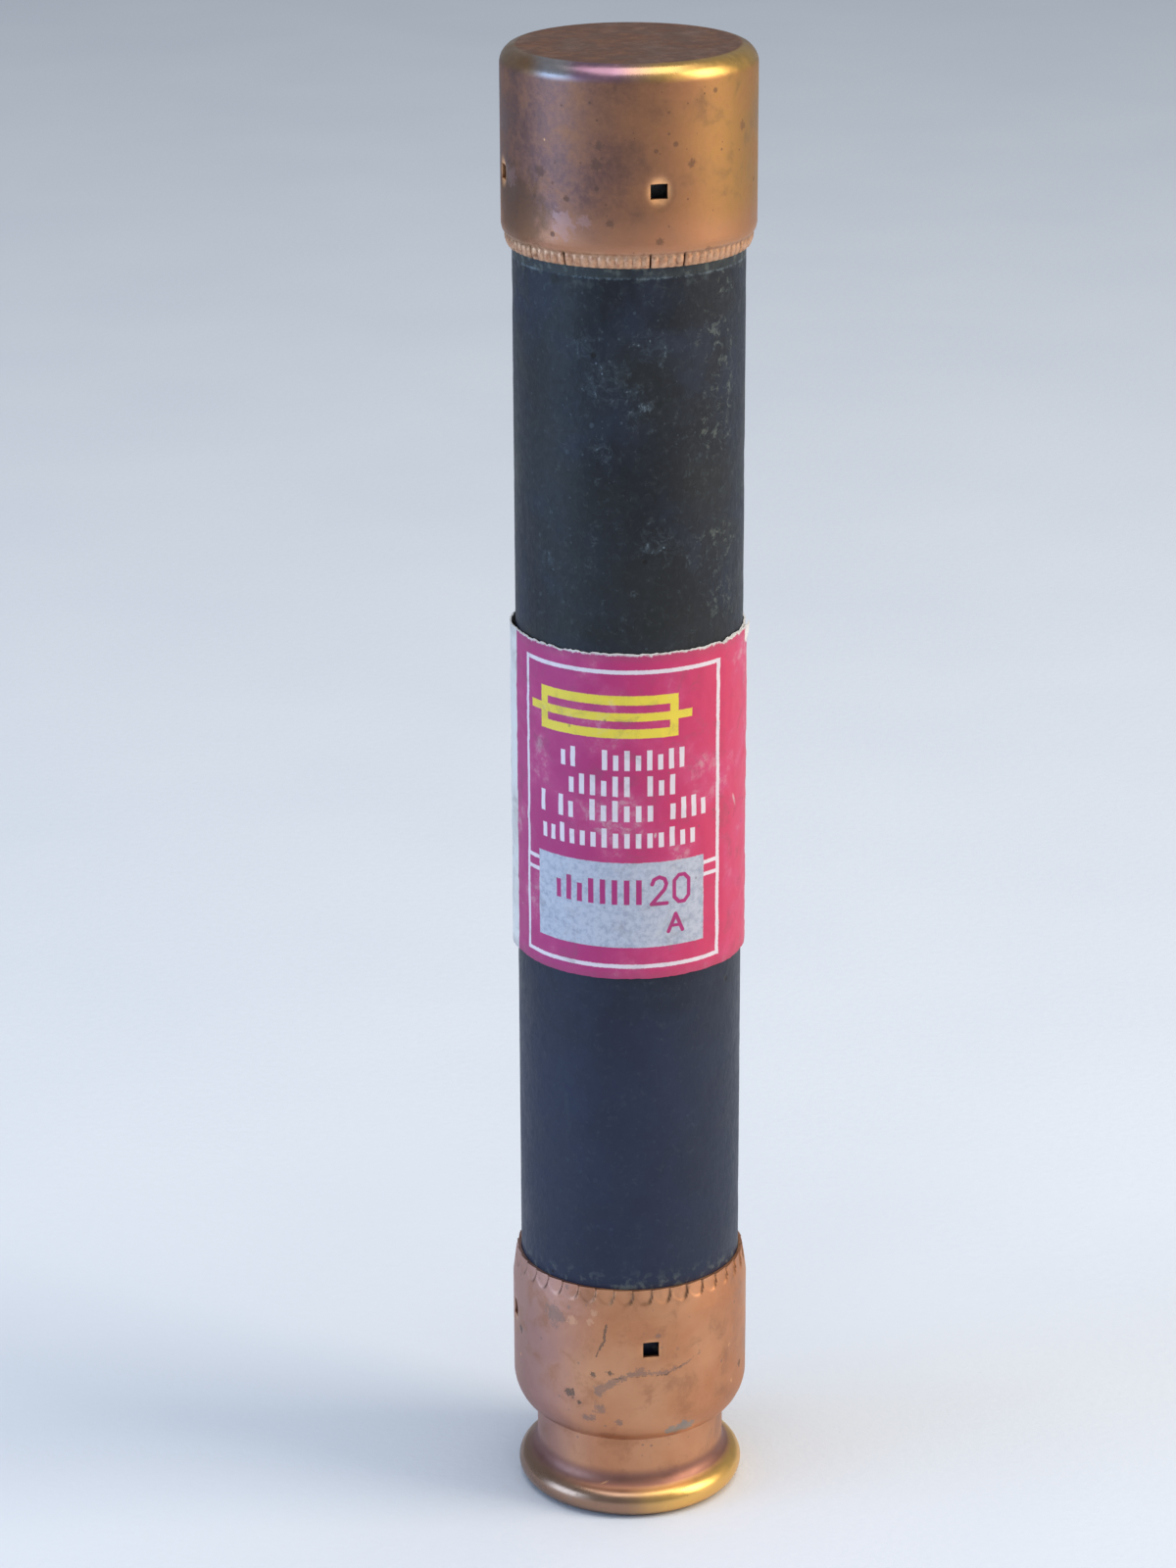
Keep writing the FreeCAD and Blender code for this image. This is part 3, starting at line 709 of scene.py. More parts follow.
path_mesh.from_pydata([(0, y * mm, z * mm) for y, z in shunt_path],
                      [(i, i + 1) for i in range(len(shunt_path) - 1)], [])
shunt = shaped_piece("flexible_shunt_braid", tree, shunt_sizes, path_mesh)
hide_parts("flexible_shunt")
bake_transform(shunt)

# ---- Plain ferrule ----
# A copper cap drawn from sheet: flat end, rounded rim, straight wall, and a lip that a knurled
# wheel has rolled inwards on to the tube. Four square stakes, each in a small dish, hold it.
plain_radius = 10.32
plain_wall = 0.84
plain_corner = 1.5
ferrule_bore = 9.48
overall_length = 127.0
plain_lip = 111.0
plain_crimp_depth = 0.38
plain_crimp_top = plain_lip + 1.7
bead_middle, bead_half = 0.48, 0.62    # of the knurl's beads, above the lip
dish_radius = 1.2
dish_depth = 0.22


def stake_dish(turn, radius, height, stake):
    """How far down a point lies in the nearest stake's dish, from 0 at its edge to 1."""
    quarter = 360 / stake_count
    step = (turn - stake["first"]) / quarter
    nearest = step - calc("ROUND", step)
    across = nearest * math.radians(quarter) * radius
    up = (height - stake["z"]) * 0.85
    far = calc("SQRT", across ** 2.0 + up ** 2.0)
    share = far / dish_radius
    return fade(share, 0.0, 1.2, 1.0, 0.0)


def repeat(turn, count):
    """Place within one of `count` repeats round the fuse, from 0 to 1."""
    return calc("FRACT", turn * (count / 360.0) + 200.0)


def arch_of(within):
    """Height of a half circle over one repeat, from 0 at its ends to 1 in the middle."""
    aside = within * 2.0 - 1.0
    return calc("SQRT", most(1.0 - aside * aside, 0.0))


copper_brown = tint(166, 118, 86)
copper_painted_cool_light = tint(116, 86, 84)
copper_painted_warm_light = tint(186, 140, 80)
copper_dark = tint(92, 68, 58)
copper_umber = tint(104, 76, 54)
copper_bright = tint(244, 184, 132)
copper_pink = tint(192, 136, 104)
copper_pale = tint(216, 172, 140)
top_brown, top_sienna = tint(132, 94, 76), tint(160, 114, 88)
rim_silver_reflection, rim_violet_reflection, rim_gold_reflection = tint(176, 176, 182), tint(156, 122, 150), tint(228, 184, 104)
rim_brown = tint(166, 132, 98)
hole_shade_tint = tint(46, 30, 22)
# Dark brown for the grooves and notches of the crimps: grime and painted shade.
grime_and_shade = tint(34, 26, 22)
copper_bloom = tint(182, 146, 146)

plain_copper, tree, shader, place = start_material("plain_ferrule_copper")
spot_x, spot_y, spot_z = parts_of(place)
flat_radius = vector_calc("LENGTH", place * (1.0, 1.0, 0.0))
cloud = noise(place, 3.0, 7.0, 0.66, 0.3)
broad = noise(place, 8.0, 3.0, 0.55)
fine = noise(place, 0.45, 5.0, 0.7)
brushed = noise(place * (1.0, 1.0, 14.0), 2.4, 3.0, 0.6)
# Painted light: the wall runs from violet on the left through brown to gold on the right, a painted
# cool shade and warm light by side.
side_light_drift = broad * 8.0 + spot_x
tarnish = fade(cloud, 0.52, 0.3) * 0.45
lip_glow = fade(broad * -5.0 + spot_z, 113.6, 110.2)
umber = most(spots(place, 10.3, 0.3, (-62, 114.6, 4.4)), spots(place, 10.3, 0.35, (150, 121, 4.0)))
freckles = most(speckle(place, 1.6, 0.2, 0.4), speckle(place, 0.7, 0.24, 0.25))
stains = spots(place, 10.3, 0.55, (-15.8, 119.3, 0.6), (-44, 118.3, 0.55), (12, 113.2, 0.4),
               (-10, 114.7, 0.4), (36, 111.9, 0.5), (-14.7, 120.8, 0.4), (27, 119.2, 0.4),
               (-30, 116.4, 0.3), (58, 121.4, 0.5), (140, 118.0, 1.2), (-120, 115.6, 1.0),
               (200, 121.0, 0.9))
dark_marks = most(freckles * 0.6, stains * (fine * 0.5 + 0.3))
bloom = spots(place, 10.3, 0.8, (-31.7, 114.3, 1.2), (-21.4, 114.7, 0.55), (-67, 117.3, 0.9),
              (112, 116, 1.4))
on_top = fade(flat_radius, 9.5, 8.8) * above(spot_z, 126.0)
top_grain = noise(place, 1.1, 6.0, 0.72)
top_colour = coated(mixed(fade(top_grain, 0.42, 0.7), top_brown, top_sienna),
                    (freckles * 0.7, copper_dark))
scored = most(scratch(place, (0.0, 0.0, 0.25), 2.6, 0.12, 0.1, 0.4),
              scratch(place, (0.5, 0.5, -0.9), 3.2, 0.08, 0.08, 0.4))
# Painted reflection: the front of the rounded rim runs brown, silver, violet and gold from left to
# right, standing in for the lights seen in it; its back stays brown.
rim = fade(spot_z, 125.5, 126.2) * fade(flat_radius, 8.85, 9.2)
rim_painted_reflection = coated(mixed(fade(spot_x, -8.2, -6.6), rim_brown, rim_silver_reflection),
                    (fade(spot_x, -5.6, -4.0), rim_violet_reflection),
                    (fade(broad * 3.0 + spot_x, -0.4, 4.2), rim_gold_reflection))
rim_painted_reflection = mixed(fade(spot_y, 1.5, -3.0), rim_brown, rim_painted_reflection)
dish = add(tree, "ShaderNodeAttribute", attribute_name="dished").outputs["Fac"]
# Painted shade, with some grime: the knurl's groove valleys and breaks, marked on the mesh, are
# darkened in the colour below.
crimp_shade = add(tree, "ShaderNodeAttribute", attribute_name="crimp_shade").outputs["Fac"]
# Painted highlight: the stake dishes are lightened towards bright copper.
dish_painted_highlight = fade(dish, 0.0, 0.62) * fade(fine, 0.2, 0.55, 0.6, 0.95)
# Painted highlight: a pale band on the knurled lip stands in for light on its beads; the pink lip glow
# above is painted light too.
lip_painted_highlight = fade(spot_z, 112.5, 111.9) * fade(fine, 0.3, 0.6)
# Painted shade: the walls inside the stake holes are darkened.
stake_hole_shade = (fade(flat_radius, 10.0, 9.7) * fade(spot_z, 114.0, 114.5)
              * fade(spot_z, 121.0, 120.5))
colour = coated(
    mixed(fade(side_light_drift, -3.0, 9.0), copper_painted_cool_light, copper_brown),
    (fade(side_light_drift, 6.5, 13.0), copper_painted_warm_light), (fade(cloud, 0.4, 0.72) * 0.55, copper_brown),
    (fade(fine, 0.35, 0.7) * 0.22, copper_pink), (tarnish, copper_dark),
    (lip_glow * 0.7, copper_pink), (umber * 0.6, copper_umber), (dark_marks, copper_dark),
    (bloom * 0.32, copper_bloom), (on_top, top_colour), (scored * 0.8, copper_bright),
    (rim * (fine * 0.4 + 0.5), rim_painted_reflection), (dish_painted_highlight, copper_bright),
    (lip_painted_highlight * 0.85, copper_pale), (crimp_shade * 0.75, grime_and_shade), (stake_hole_shade, hole_shade_tint))
rough = fade(cloud, 0.3, 0.7, 0.34, 0.5) + dark_marks * 0.2 - rim * 0.14 + fine * 0.1
metal = 1.0 - most(dark_marks, tarnish) * 0.5
relief = (fine * 0.5 + brushed * 0.2) * (1.0 - rim * 0.85) - scored * 0.6
finish_shader(shader, colour, rough, relief, 0.02, Metallic=metal)

plain_sizes = {"Columns": 704, "Crimp count": 88, "Crimp step": 0.03, "Bead height": 0.14,
               "Dent depth": 0.04}
tree, size = start_shape("turned_plain_ferrule", plain_sizes)
wall = swept_wall(tree, size["Geometry"], size["Columns"])
cutter = stake_cutters(tree, plain_radius, ferrule_bore - 0.6, stake_width, plain_stake["height"],
                       plain_stake["z"], plain_stake["first"])
wall = cut_out(wall, cutter)
turn, radius, height, outward, place = polar_place(tree)
skin = above(radius, ferrule_bore + 0.3)
counted = turn * (size["Crimp count"] / 360.0)
boundary = calc("ROUND", counted)
gap = abs(counted - boundary)
lot = add(tree, "ShaderNodeTexWhiteNoise", {"W": boundary}, noise_dimensions="1D").outputs["Value"]
aside = gap * -2.0 + 1.0
upward = (height - (plain_lip + bead_middle)) / bead_half
from_bead = aside * aside + upward * upward
bead = most(1.0 - from_bead, 0.0)
press = fade(height, plain_lip + 1.0, plain_lip + 1.3, 1.0, 0.0) * skin
deep = above(lot, 0.86) * fade(gap, 0.02, 0.14, 1.0, 0.0)
groove = 1.0 - bead
grooved = (groove + deep) * press
dish = stake_dish(turn, radius, height, plain_stake) * skin
dents = noise(place, 4.5, 2.0) * size["Dent depth"]
sunk = grooved * size["Bead height"] + press * size["Crimp step"] + dish * dish_depth + dents * skin
# Painted shade, with some grime: this mark of the groove valleys and deep breaks goes to the material,
# which darkens them.
groove_shade = (groove ** 3.0 * 0.4 + deep) * press
wall = marked(marked(wall, "crimp_shade", groove_shade), "dished", dish)
wall = pushed(wall, outward, sunk * -1.0)
end_shape(tree, wall, plain_copper)

corner = (plain_radius - plain_corner, overall_length - plain_corner)
lip_radius = plain_radius - plain_crimp_depth
outline = outline_mesh("plain_ferrule_outline", [
    straight((0, overall_length), (corner[0], overall_length), 0.7),
    bend(corner, plain_corner, 90, 0, 0.16),
    legs((plain_radius, corner[1]), (plain_radius, 118.8, 0.5), (plain_radius, 115.5, 0.15),
         (plain_radius, plain_crimp_top, 0.4), (lip_radius, plain_lip, 0.1),
         (ferrule_bore, plain_lip, 0.16), (ferrule_bore, corner[1], 3.0)),
    bend(corner, plain_corner - plain_wall, 0, 90, 0.25),
    straight((corner[0], overall_length - plain_wall), (0, overall_length - plain_wall), 2.5),
], closed=False)
plain_ferrule = shaped_piece("plain_ferrule_cap", tree, plain_sizes, outline)
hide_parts("plain_ferrule")
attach(plain_ferrule, "casing")

# ---- Rejection ferrule ----
# A deeper copper cap, formed to a rolled end flange, a groove that the holder's clip has to find,
# a rounded shoulder and a straight contact wall. Its lip is nicked all round, so it grips the tube.
rejection_radius = 10.18
rejection_wall = 0.70
neck_radius = 8.15
flange_radius = 9.80
bead_radius = 1.27
groove_fillet = 1.4
shoulder_radius = 3.91
shoulder_top = 10.4
rejection_lip = 22.1
rejection_crimp_height = 2.6
rejection_crimp_depth = 0.33

copper_orange = tint(194, 134, 98)
copper_flesh = tint(208, 154, 118)
copper_rust = tint(160, 110, 82)
copper_lilac = tint(154, 130, 142)
blotch_tint = tint(132, 112, 106)
pit_tint = tint(78, 72, 66)
verdigris = tint(104, 134, 138)
hollow_tint, crease_pale = tint(128, 90, 88), tint(236, 196, 164)
flange_olive, flange_warm_highlight = tint(156, 126, 108), tint(240, 190, 106)

rejection_copper, tree, shader, place = start_material("rejection_ferrule_copper")
spot_x, _, spot_z = parts_of(place)
flat_radius = vector_calc("LENGTH", place * (1.0, 1.0, 0.0))
cloud = noise(place, 3.0, 7.0, 0.66, 0.3)
broad = noise(place, 7.0, 3.0, 0.55)
fine = noise(place, 0.42, 5.0, 0.7)
turned_lines = noise(place * (0.6, 0.6, 9.0), 2.0, 3.0, 0.6)
left_shade = fade(broad * 5.0 + spot_x, 0.5, -6.5)
rust = fade(cloud, 0.52, 0.32) * 0.55

# Straight line from point to point with round ends, as a crack in tarnish or a stroke of ink.
streak, source = start_group("streak", {"Place": origin, "Start": origin,
                                        "End": (1.0, 0.0, 0.0), "Half width": 0.15, "Ragged": 0.0})
ripple = add(streak, "ShaderNodeTexNoise", {"Vector": source["Place"], "Scale": 3.2, "Detail": 3.0,
                                            "Roughness": 0.7}).outputs[0]
to_point = source["Place"] - source["Start"]
run_of = source["End"] - source["Start"]
share = vector_calc("DOT_PRODUCT", to_point, run_of) / vector_calc("DOT_PRODUCT", run_of, run_of)
share = calc("MINIMUM", most(share, 0.0), 1.0)
off = vector_calc("LENGTH", to_point - run_of * share)
past = off - source["Half width"] + (ripple - 0.5) * source["Ragged"]
add(streak, "NodeGroupOutput", {0: fade(past, -0.035, 0.035, 1.0, 0.0)})


def ragged_line(ragged, *points):
    """Line in the tarnish, through (degrees, height, half width)."""
    return most(*(effect(streak, Place=place, Start=wall_point(near[0], 10.15, near[1]),
                         End=wall_point(far[0], 10.15, far[1]), Half_width=(near[2] + far[2]) / 2,
                         Ragged=ragged) for near, far in zip(points, points[1:])))


trail = most(
    ragged_line(1.1, (-17.5, 12.7, 0.34), (-12, 13.2, 0.3), (-6, 13.95, 0.26), (0, 14.4, 0.22),
                (7, 14.4, 0.2), (14, 14.3, 0.14), (21, 14.5, 0.09), (28, 14.9, 0.07),
                (35, 15.6, 0.05)),
    spots(place, 10.0, 0.7, (-16.5, 12.6, 0.62), (-16.5, 10.9, 0.6), (-20.5, 9.9, 0.42),
          (3, 14.6, 0.5), (-42, 19.0, 1.2), (-7, 9.7, 0.4), (-23.5, 9.8, 0.4), (128, 13, 1.1),
          (-140, 16, 0.9), (84, 9.6, 0.6), (170, 11.0, 1.1)))
cracks = most(
    ragged_line(0.5, (-13.2, 18.9, 0.08), (-13.9, 18.1, 0.12), (-14.0, 17.4, 0.07),
                (-16.6, 16.6, 0.1), (-18, 15.9, 0.04)),
    ragged_line(0.35, (-9, 13.9, 0.03), (4, 14.15, 0.07), (16, 14.1, 0.04), (24, 14.7, 0.03)))
pits = most(cracks * 0.9,
            spots(place, 10.1, 0.7, (-31.7, 11.9, 0.5), (-19.8, 14.1, 0.28), (-11, 14.4, 0.26),
                  (68, 12.0, 0.4), (-70, 15.5, 0.4), (155, 17.0, 0.5), (-27, 11.2, 0.22)))
freckles = most(speckle(place, 1.9, 0.2, 0.35), speckle(place, 0.8, 0.24, 0.22))
dark_marks = most(trail * (fine * 0.7 + 0.2), freckles * 0.5)
pale = spots(place, 10.1, 0.7, (-30.7, 18.9, 0.5), (-20.9, 19.1, 0.4), (-19.3, 19.9, 0.36))
green = spots(place, 9.7, 0.7, (28, 8.5, 0.9), (24, 8.3, 0.7), (20, 8.3, 0.6))
hollow = fade(spot_z, 2.3, 2.8) * fade(spot_z, 4.3, 3.3)
flange = fade(spot_z, 2.75, 2.3) * fade(flat_radius, 8.2, 8.7)
# Painted light: the flange runs from olive on the left to a warm gold highlight on the right.
flange_painted_light = mixed(fade(broad * 5.0 + spot_x, 0.5, 8.0), flange_olive, flange_warm_highlight)
scored = scratch(place, (0.2, 0.6, 0.4), 3.0, 0.06, 0.09, 0.4)
crease = fade(spot_z, 7.0, 7.25) * fade(spot_z, 7.6, 7.35) * fade(fine, 0.35, 0.6)
# Painted highlight: the stake dishes are lightened towards bright copper in the colour below.
dish = add(tree, "ShaderNodeAttribute", attribute_name="dished").outputs["Fac"]
# Painted shade, with some grime: the notches' shadow lines, marked on the mesh, are darkened in the
# colour below.
crimp_shade = add(tree, "ShaderNodeAttribute", attribute_name="crimp_shade").outputs["Fac"]
# Painted shade: the walls inside the stake holes are darkened.
stake_hole_shade = fade(flat_radius, 9.9, 9.65) * fade(spot_z, 13.5, 14.0) * fade(spot_z, 19.0, 18.5)
colour = coated(
    mixed(fade(broad, 0.36, 0.66), copper_orange, copper_flesh),
    (fade(fine, 0.35, 0.7) * 0.25, copper_flesh), (left_shade * 0.55, copper_lilac),
    (rust, copper_rust), (dark_marks, blotch_tint), (pits * 0.7, pit_tint),
    (pale * 0.5, copper_pale), (green * 0.6, verdigris), (hollow * 0.75, hollow_tint),
    (flange * 0.9, flange_painted_light), (scored * 0.5, copper_bright),
    (crease * 0.45, crease_pale), (fade(dish, 0.1, 0.7) * 0.4, copper_bright),
    (crimp_shade * 0.8, grime_and_shade), (stake_hole_shade, hole_shade_tint))
rough = fade(cloud, 0.3, 0.7, 0.38, 0.52) + most(dark_marks, pits) * 0.2
rough = rough - flange * 0.18 + fine * 0.1
metal = 1.0 - most(pits, dark_marks, green) * 0.6
relief = (fine * 0.5 + turned_lines * 0.2) * (1.0 - flange * 0.8) - pits * 1.5 - scored * 0.5
finish_shader(shader, colour, rough, relief, 0.02, Metallic=metal)

rejection_sizes = {"Columns": 532, "Notch count": 38, "Notch depth": 0.17, "Notch height": 1.35,
                   "Notch lean": 0.1, "Dent depth": 0.035}
tree, size = start_shape("turned_rejection_ferrule", rejection_sizes)
wall = swept_wall(tree, size["Geometry"], size["Columns"])
cutter = stake_cutters(tree, rejection_radius, ferrule_bore - 0.6, stake_width,
                       rejection_stake["height"], rejection_stake["z"], rejection_stake["first"])
wall = cut_out(wall, cutter)
turn, radius, height, outward, place = polar_place(tree)
skin = above(radius, ferrule_bore + 0.2) * above(height, shoulder_top - 2.0)
from_lip = height - rejection_lip
pitch_degrees = 360.0 / size["Notch count"]
lean = from_lip * size["Notch lean"] * pitch_degrees
within = repeat(turn + lean, size["Notch count"])
pocket_foot = arch_of(within) * size["Notch height"]
inside = from_lip + pocket_foot
slope = within ** 1.6
notch = fade(inside, -0.02, 0.22) * skin * (slope * 0.8 + 0.2)
# Painted shade: one side of each notch is marked for the material, which darkens it as a shadow line.
notch_shade = fade(inside, 0.45, 0.02) * fade(inside, -0.1, 0.0) * fade(within, 0.6, 0.85) * skin
dish = stake_dish(turn, radius, height, rejection_stake) * skin
dents = noise(place, 4.5, 2.0) * size["Dent depth"]
sunk = notch * size["Notch depth"] + dish * dish_depth + dents * skin
wall = marked(marked(wall, "crimp_shade", notch_shade), "dished", dish)
wall = pushed(wall, outward, sunk * -1.0)
end_shape(tree, wall, rejection_copper)


def grooved_wall(inset):
    """Wall from the axis at the base up to the shoulder's top, `inset` inside the outer face."""
    bead = (flange_radius - bead_radius, bead_radius)
    reach = bead_radius + groove_fillet
    hollow_r = neck_radius + groove_fillet
    hollow = (hollow_r, bead[1] + math.sqrt(reach ** 2 - (hollow_r - bead[0]) ** 2))
    lean = math.degrees(math.atan2(hollow[1] - bead[1], hollow[0] - bead[0]))
    shoulder = (rejection_radius - shoulder_radius, shoulder_top)
    neck = neck_radius - inset
    sweep = math.degrees(math.acos((neck - shoulder[0]) / (shoulder_radius - inset)))
    coarse = 1.0 if inset == 0 else 2.5
    arc = shoulder_radius - inset
    crease = Vector((shoulder[0] + arc * math.cos(math.radians(-sweep)),
                     shoulder[1] + arc * math.sin(math.radians(-sweep))))
    return [
        straight((0, inset), (bead[0], inset), 0.9 * coarse),
        bend(bead, bead_radius - inset, -90, lean, 0.2 * coarse),
        bend(hollow, groove_fillet + inset, 180 + lean, 180, 0.2 * coarse),
        straight((neck, hollow[1]), crease, 0.4 * coarse),
        bend(shoulder, arc, -sweep, 0, 0.2 * coarse),
    ]


crimp_start = rejection_lip - rejection_crimp_height
lip_radius = rejection_radius - rejection_crimp_depth
runs = grooved_wall(0) + [
    legs((rejection_radius, shoulder_top), (rejection_radius, 14.9, 0.5),
         (rejection_radius, 18.3, 0.15), (rejection_radius, crimp_start, 0.4),
         (lip_radius, rejection_lip, 0.11), (ferrule_bore, rejection_lip, 0.13),
         (ferrule_bore, shoulder_top, 3.0)),
] + [run[::-1] for run in grooved_wall(rejection_wall)[::-1]]
outline = outline_mesh("rejection_ferrule_outline", [run[::-1] for run in runs[::-1]], closed=False)
rejection_ferrule = shaped_piece("rejection_ferrule_cap", tree, rejection_sizes, outline)
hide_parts("rejection_ferrule")
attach(rejection_ferrule, "casing")

# ---- Rating label ----
# A band of coated paper, printed magenta at the front and left white at the back, is glued round
# the tube. Its outer end laps over its start at the right, and years of handling have worn the
# print. Plain bars, a fuse symbol and a rating stand where a real label has words.
label_low, label_high = 50.8, 79.2
label_start, label_end = 85.0, -308.0    # degrees: outer end, and inner end under the lap
label_radius = 9.53                      # to the middle of the paper
label_thickness = 0.13
field_edge = -75.0                       # degrees: the magenta field's left edge


def arc_length(degrees):
    return math.radians(degrees) * label_radius


# Printed block with crisp, slightly uneven edges.
block, source = start_group("printed_block", {"Flat": origin, "Centre": origin,
                                              "Half size": (1.0, 1.0, 1.0)})
spread = add(block, "ShaderNodeTexNoise", {"Vector": source["Flat"], "Scale": 5.0, "Detail": 2.0})
uneven = spread.outputs[0] * 0.1 - 0.05
apart = abs(source["Flat"] - source["Centre"])
sides = parts_of(apart - source["Half size"])
outside = most(sides["X"], sides["Y"])
add(block, "NodeGroupOutput", {0: fade(outside + uneven, -0.04, 0.04, 1.0, 0.0)})

# Row of plain bars the size of letters, set in groups like words.
bars, source = start_group("blank_letters", {"Flat": origin, "Centre": origin,
                                             "Half size": (1.0, 1.0, 1.0), "Pitch": 1.0, "Seed": 0.0})
flat_x, flat_y, _ = parts_of(source["Flat"])
centre_y = parts_of(source["Centre"])["Y"]
half_y = parts_of(source["Half size"])["Y"]
counted = flat_x / source["Pitch"]
letter = calc("FLOOR", counted)
within = abs(calc("FRACT", counted) - 0.5)
dice = add(bars, "ShaderNodeTexWhiteNoise", {"W": calc("MULTIPLY_ADD", letter, 1.37, source["Seed"])},
           noise_dimensions="1D")
rolls = add(bars, "ShaderNodeSeparateColor", {0: dice.outputs["Color"]}).outputs
inked = above(rolls["Red"], 0.15) * fade(within, 0.21, 0.26, 1.0, 0.0)
tall = above(rolls["Green"], 0.45) * 0.5 + 1.5
top = half_y * (tall - 1.0) + centre_y
below_top = fade(flat_y - top, -0.04, 0.04, 1.0, 0.0)
row = effect(block, Flat=source["Flat"], Centre=source["Centre"], Half_size=source["Half size"])
add(bars, "NodeGroupOutput", {0: row * (inked * below_top)})


def middle_and_half(left, right, low, high):
    """Centre and half size of a block given by its sides, in degrees and heights."""
    left, right = arc_length(left), arc_length(right)
    return (((left + right) / 2, (low + high) / 2, 0.0), ((right - left) / 2, (high - low) / 2, 1.0))


ink_magenta = tint(172, 36, 112)
ink_crimson = tint(204, 46, 92)
ink_faded = tint(204, 88, 138)
ink_white = tint(226, 214, 222)
ink_yellow = tint(232, 208, 66)
ink_grey = tint(92, 90, 98)
panel_silver = tint(188, 192, 206)
panel_fleck = tint(156, 162, 182)
paper_white, paper_shade = tint(222, 218, 216), tint(204, 198, 194)
paper_torn = tint(236, 234, 232)
dirt_tint = tint(96, 82, 84)

label_paper, tree, shader, place = start_material("label_paper")
stored = add(tree, "ShaderNodeAttribute", attribute_name="flat").outputs["Vector"]
degrees, level, side = parts_of(stored)
along = degrees * arc_length(1.0)
flat = direction(along, level, 0.0)
cloud = noise(place, 4.2, 5.0, 0.62)
fine = noise(place, 0.35, 4.0, 0.7)
fibres = noise(place, 0.9, 5.0, 0.7, 0.5)


def printed(left, right, low, high):
    centre, half_size = middle_and_half(left, right, low, high)
    return effect(block, Flat=flat, Centre=centre, Half_size=half_size)


def letter_row(left, right, low, high, pitch, seed):
    """Row of blank letters whose ends fall between two of them."""
    left, right = (round(arc_length(end) / pitch) * pitch / arc_length(1.0) for end in (left, right))
    centre, half_size = middle_and_half(left, right, low, high)
    return effect(bars, Flat=flat, Centre=centre, Half_size=half_size, Pitch=pitch, Seed=seed)


def less(mask, removed):
    """The mask without what another mask takes away."""
    return mask * (1.0 - removed)


def strokes(across, up, half_width, *points):
    """Ink strokes from point to point, in mm from a corner at (across, up)."""
    points = [(across + x, up + y, 0.0) for x, y in points]
    return most(*(effect(streak, Place=flat, Start=start, End=end, Half_width=half_width)
                  for start, end in zip(points, points[1:])))


# The ink has gone where the paper was rubbed or scratched; the same wear shows in every colour.
rubs = fade(cloud, 0.54, 0.72) * fade(fibres, 0.45, 0.62)
scuffs = most(scratch(place, (0.0, math.radians(80), 0.3), 3.2, 0.05, 0.09, 0.5),
              scratch(place, (0.3, 0.5, 0.2), 2.6, 0.06, 0.08, 0.5))
gouges = scratch(place, (0.0, 1.0, 0.0), 1.1, 0.12, 0.2, 0.6)
gouged = most(spots(place, label_radius, 0.3, (14, 74.2, 2.6)),
              0.7 * spots(place, label_radius, 0.4, (-12, 74.8, 1.3)))
wear = most(rubs * 0.45, scuffs * 0.7, gouges * gouged)

field = fade(fine * 0.8 + degrees, field_edge, field_edge + 0.8)
frame_line = less(printed(-62.6, 48.3, 51.75, 77.8), printed(-60.5, 46.2, 52.1, 77.45))
ties = most(printed(-61.5, 47.2, 60.18, 60.52), printed(-61.5, 47.2, 59.13, 59.47))
panel = printed(-52.6, 37.9, 53.6, 61.1)
text_rows = ((-40, 26, 69.17, 70.92, 0.92, 3.1), (-35.7, 20.2, 66.9, 68.66, 0.95, 7.7),
             (-52.5, 38, 64.7, 66.55, 0.96, 12.9), (-48.3, 33.5, 62.4, 64.1, 0.94, 20.3))
white_print = most(less(most(frame_line, ties), panel), *(letter_row(*row) for row in text_rows))
symbol = most(less(printed(-50, 23, 71.95, 75.6), printed(-45.6, 18.6, 72.75, 74.8)),
              printed(-57.4, 30.6, 73.42, 74.13))
rating = most(
    strokes(1.55, 57.4, 0.17, (0.05, 1.75), (0.2, 2.15), (0.65, 2.35), (1.1, 2.15), (1.25, 1.7),
            (1.1, 1.25), (0.0, 0.0), (1.3, 0.0)),
    strokes(3.5, 57.4, 0.17, (0.4, 2.35), (0.9, 2.35), (1.3, 1.9), (1.3, 0.45), (0.9, 0.0),
            (0.4, 0.0), (0.0, 0.45), (0.0, 1.9), (0.4, 2.35)),
    strokes(3.0, 54.85, 0.17, (0.0, 0.0), (0.62, 1.5), (1.24, 0.0)),
    strokes(3.0, 54.85, 0.15, (0.22, 0.5), (1.02, 0.5)),
    letter_row(-42, 4.5, 57.4, 59.6, 1.0, 31.0))

magenta = coated(mixed(fade(degrees, -45.0, 60.0), ink_magenta, ink_crimson),
                 (fade(cloud, 0.42, 0.72) * 0.5, ink_faded))
flecks = fade(noise(place, 0.5, 5.0, 0.75), 0.4, 0.7)
silver = mixed(flecks, panel_silver, panel_fleck)
ink = coated(magenta, (white_print, ink_white), (panel, mixed(rating, silver, ink_magenta)),
             (symbol, ink_yellow))
white_margin = most(fade(fine * 1.6 + degrees, 84.3, 85.2), fade(fine * 0.55 + level, 79.28, 79.5))
torn = spots(place, 9.8, 0.4, (80, 78.6, 1.1))
front = less(less(field, wear * 0.85), most(white_margin, torn))

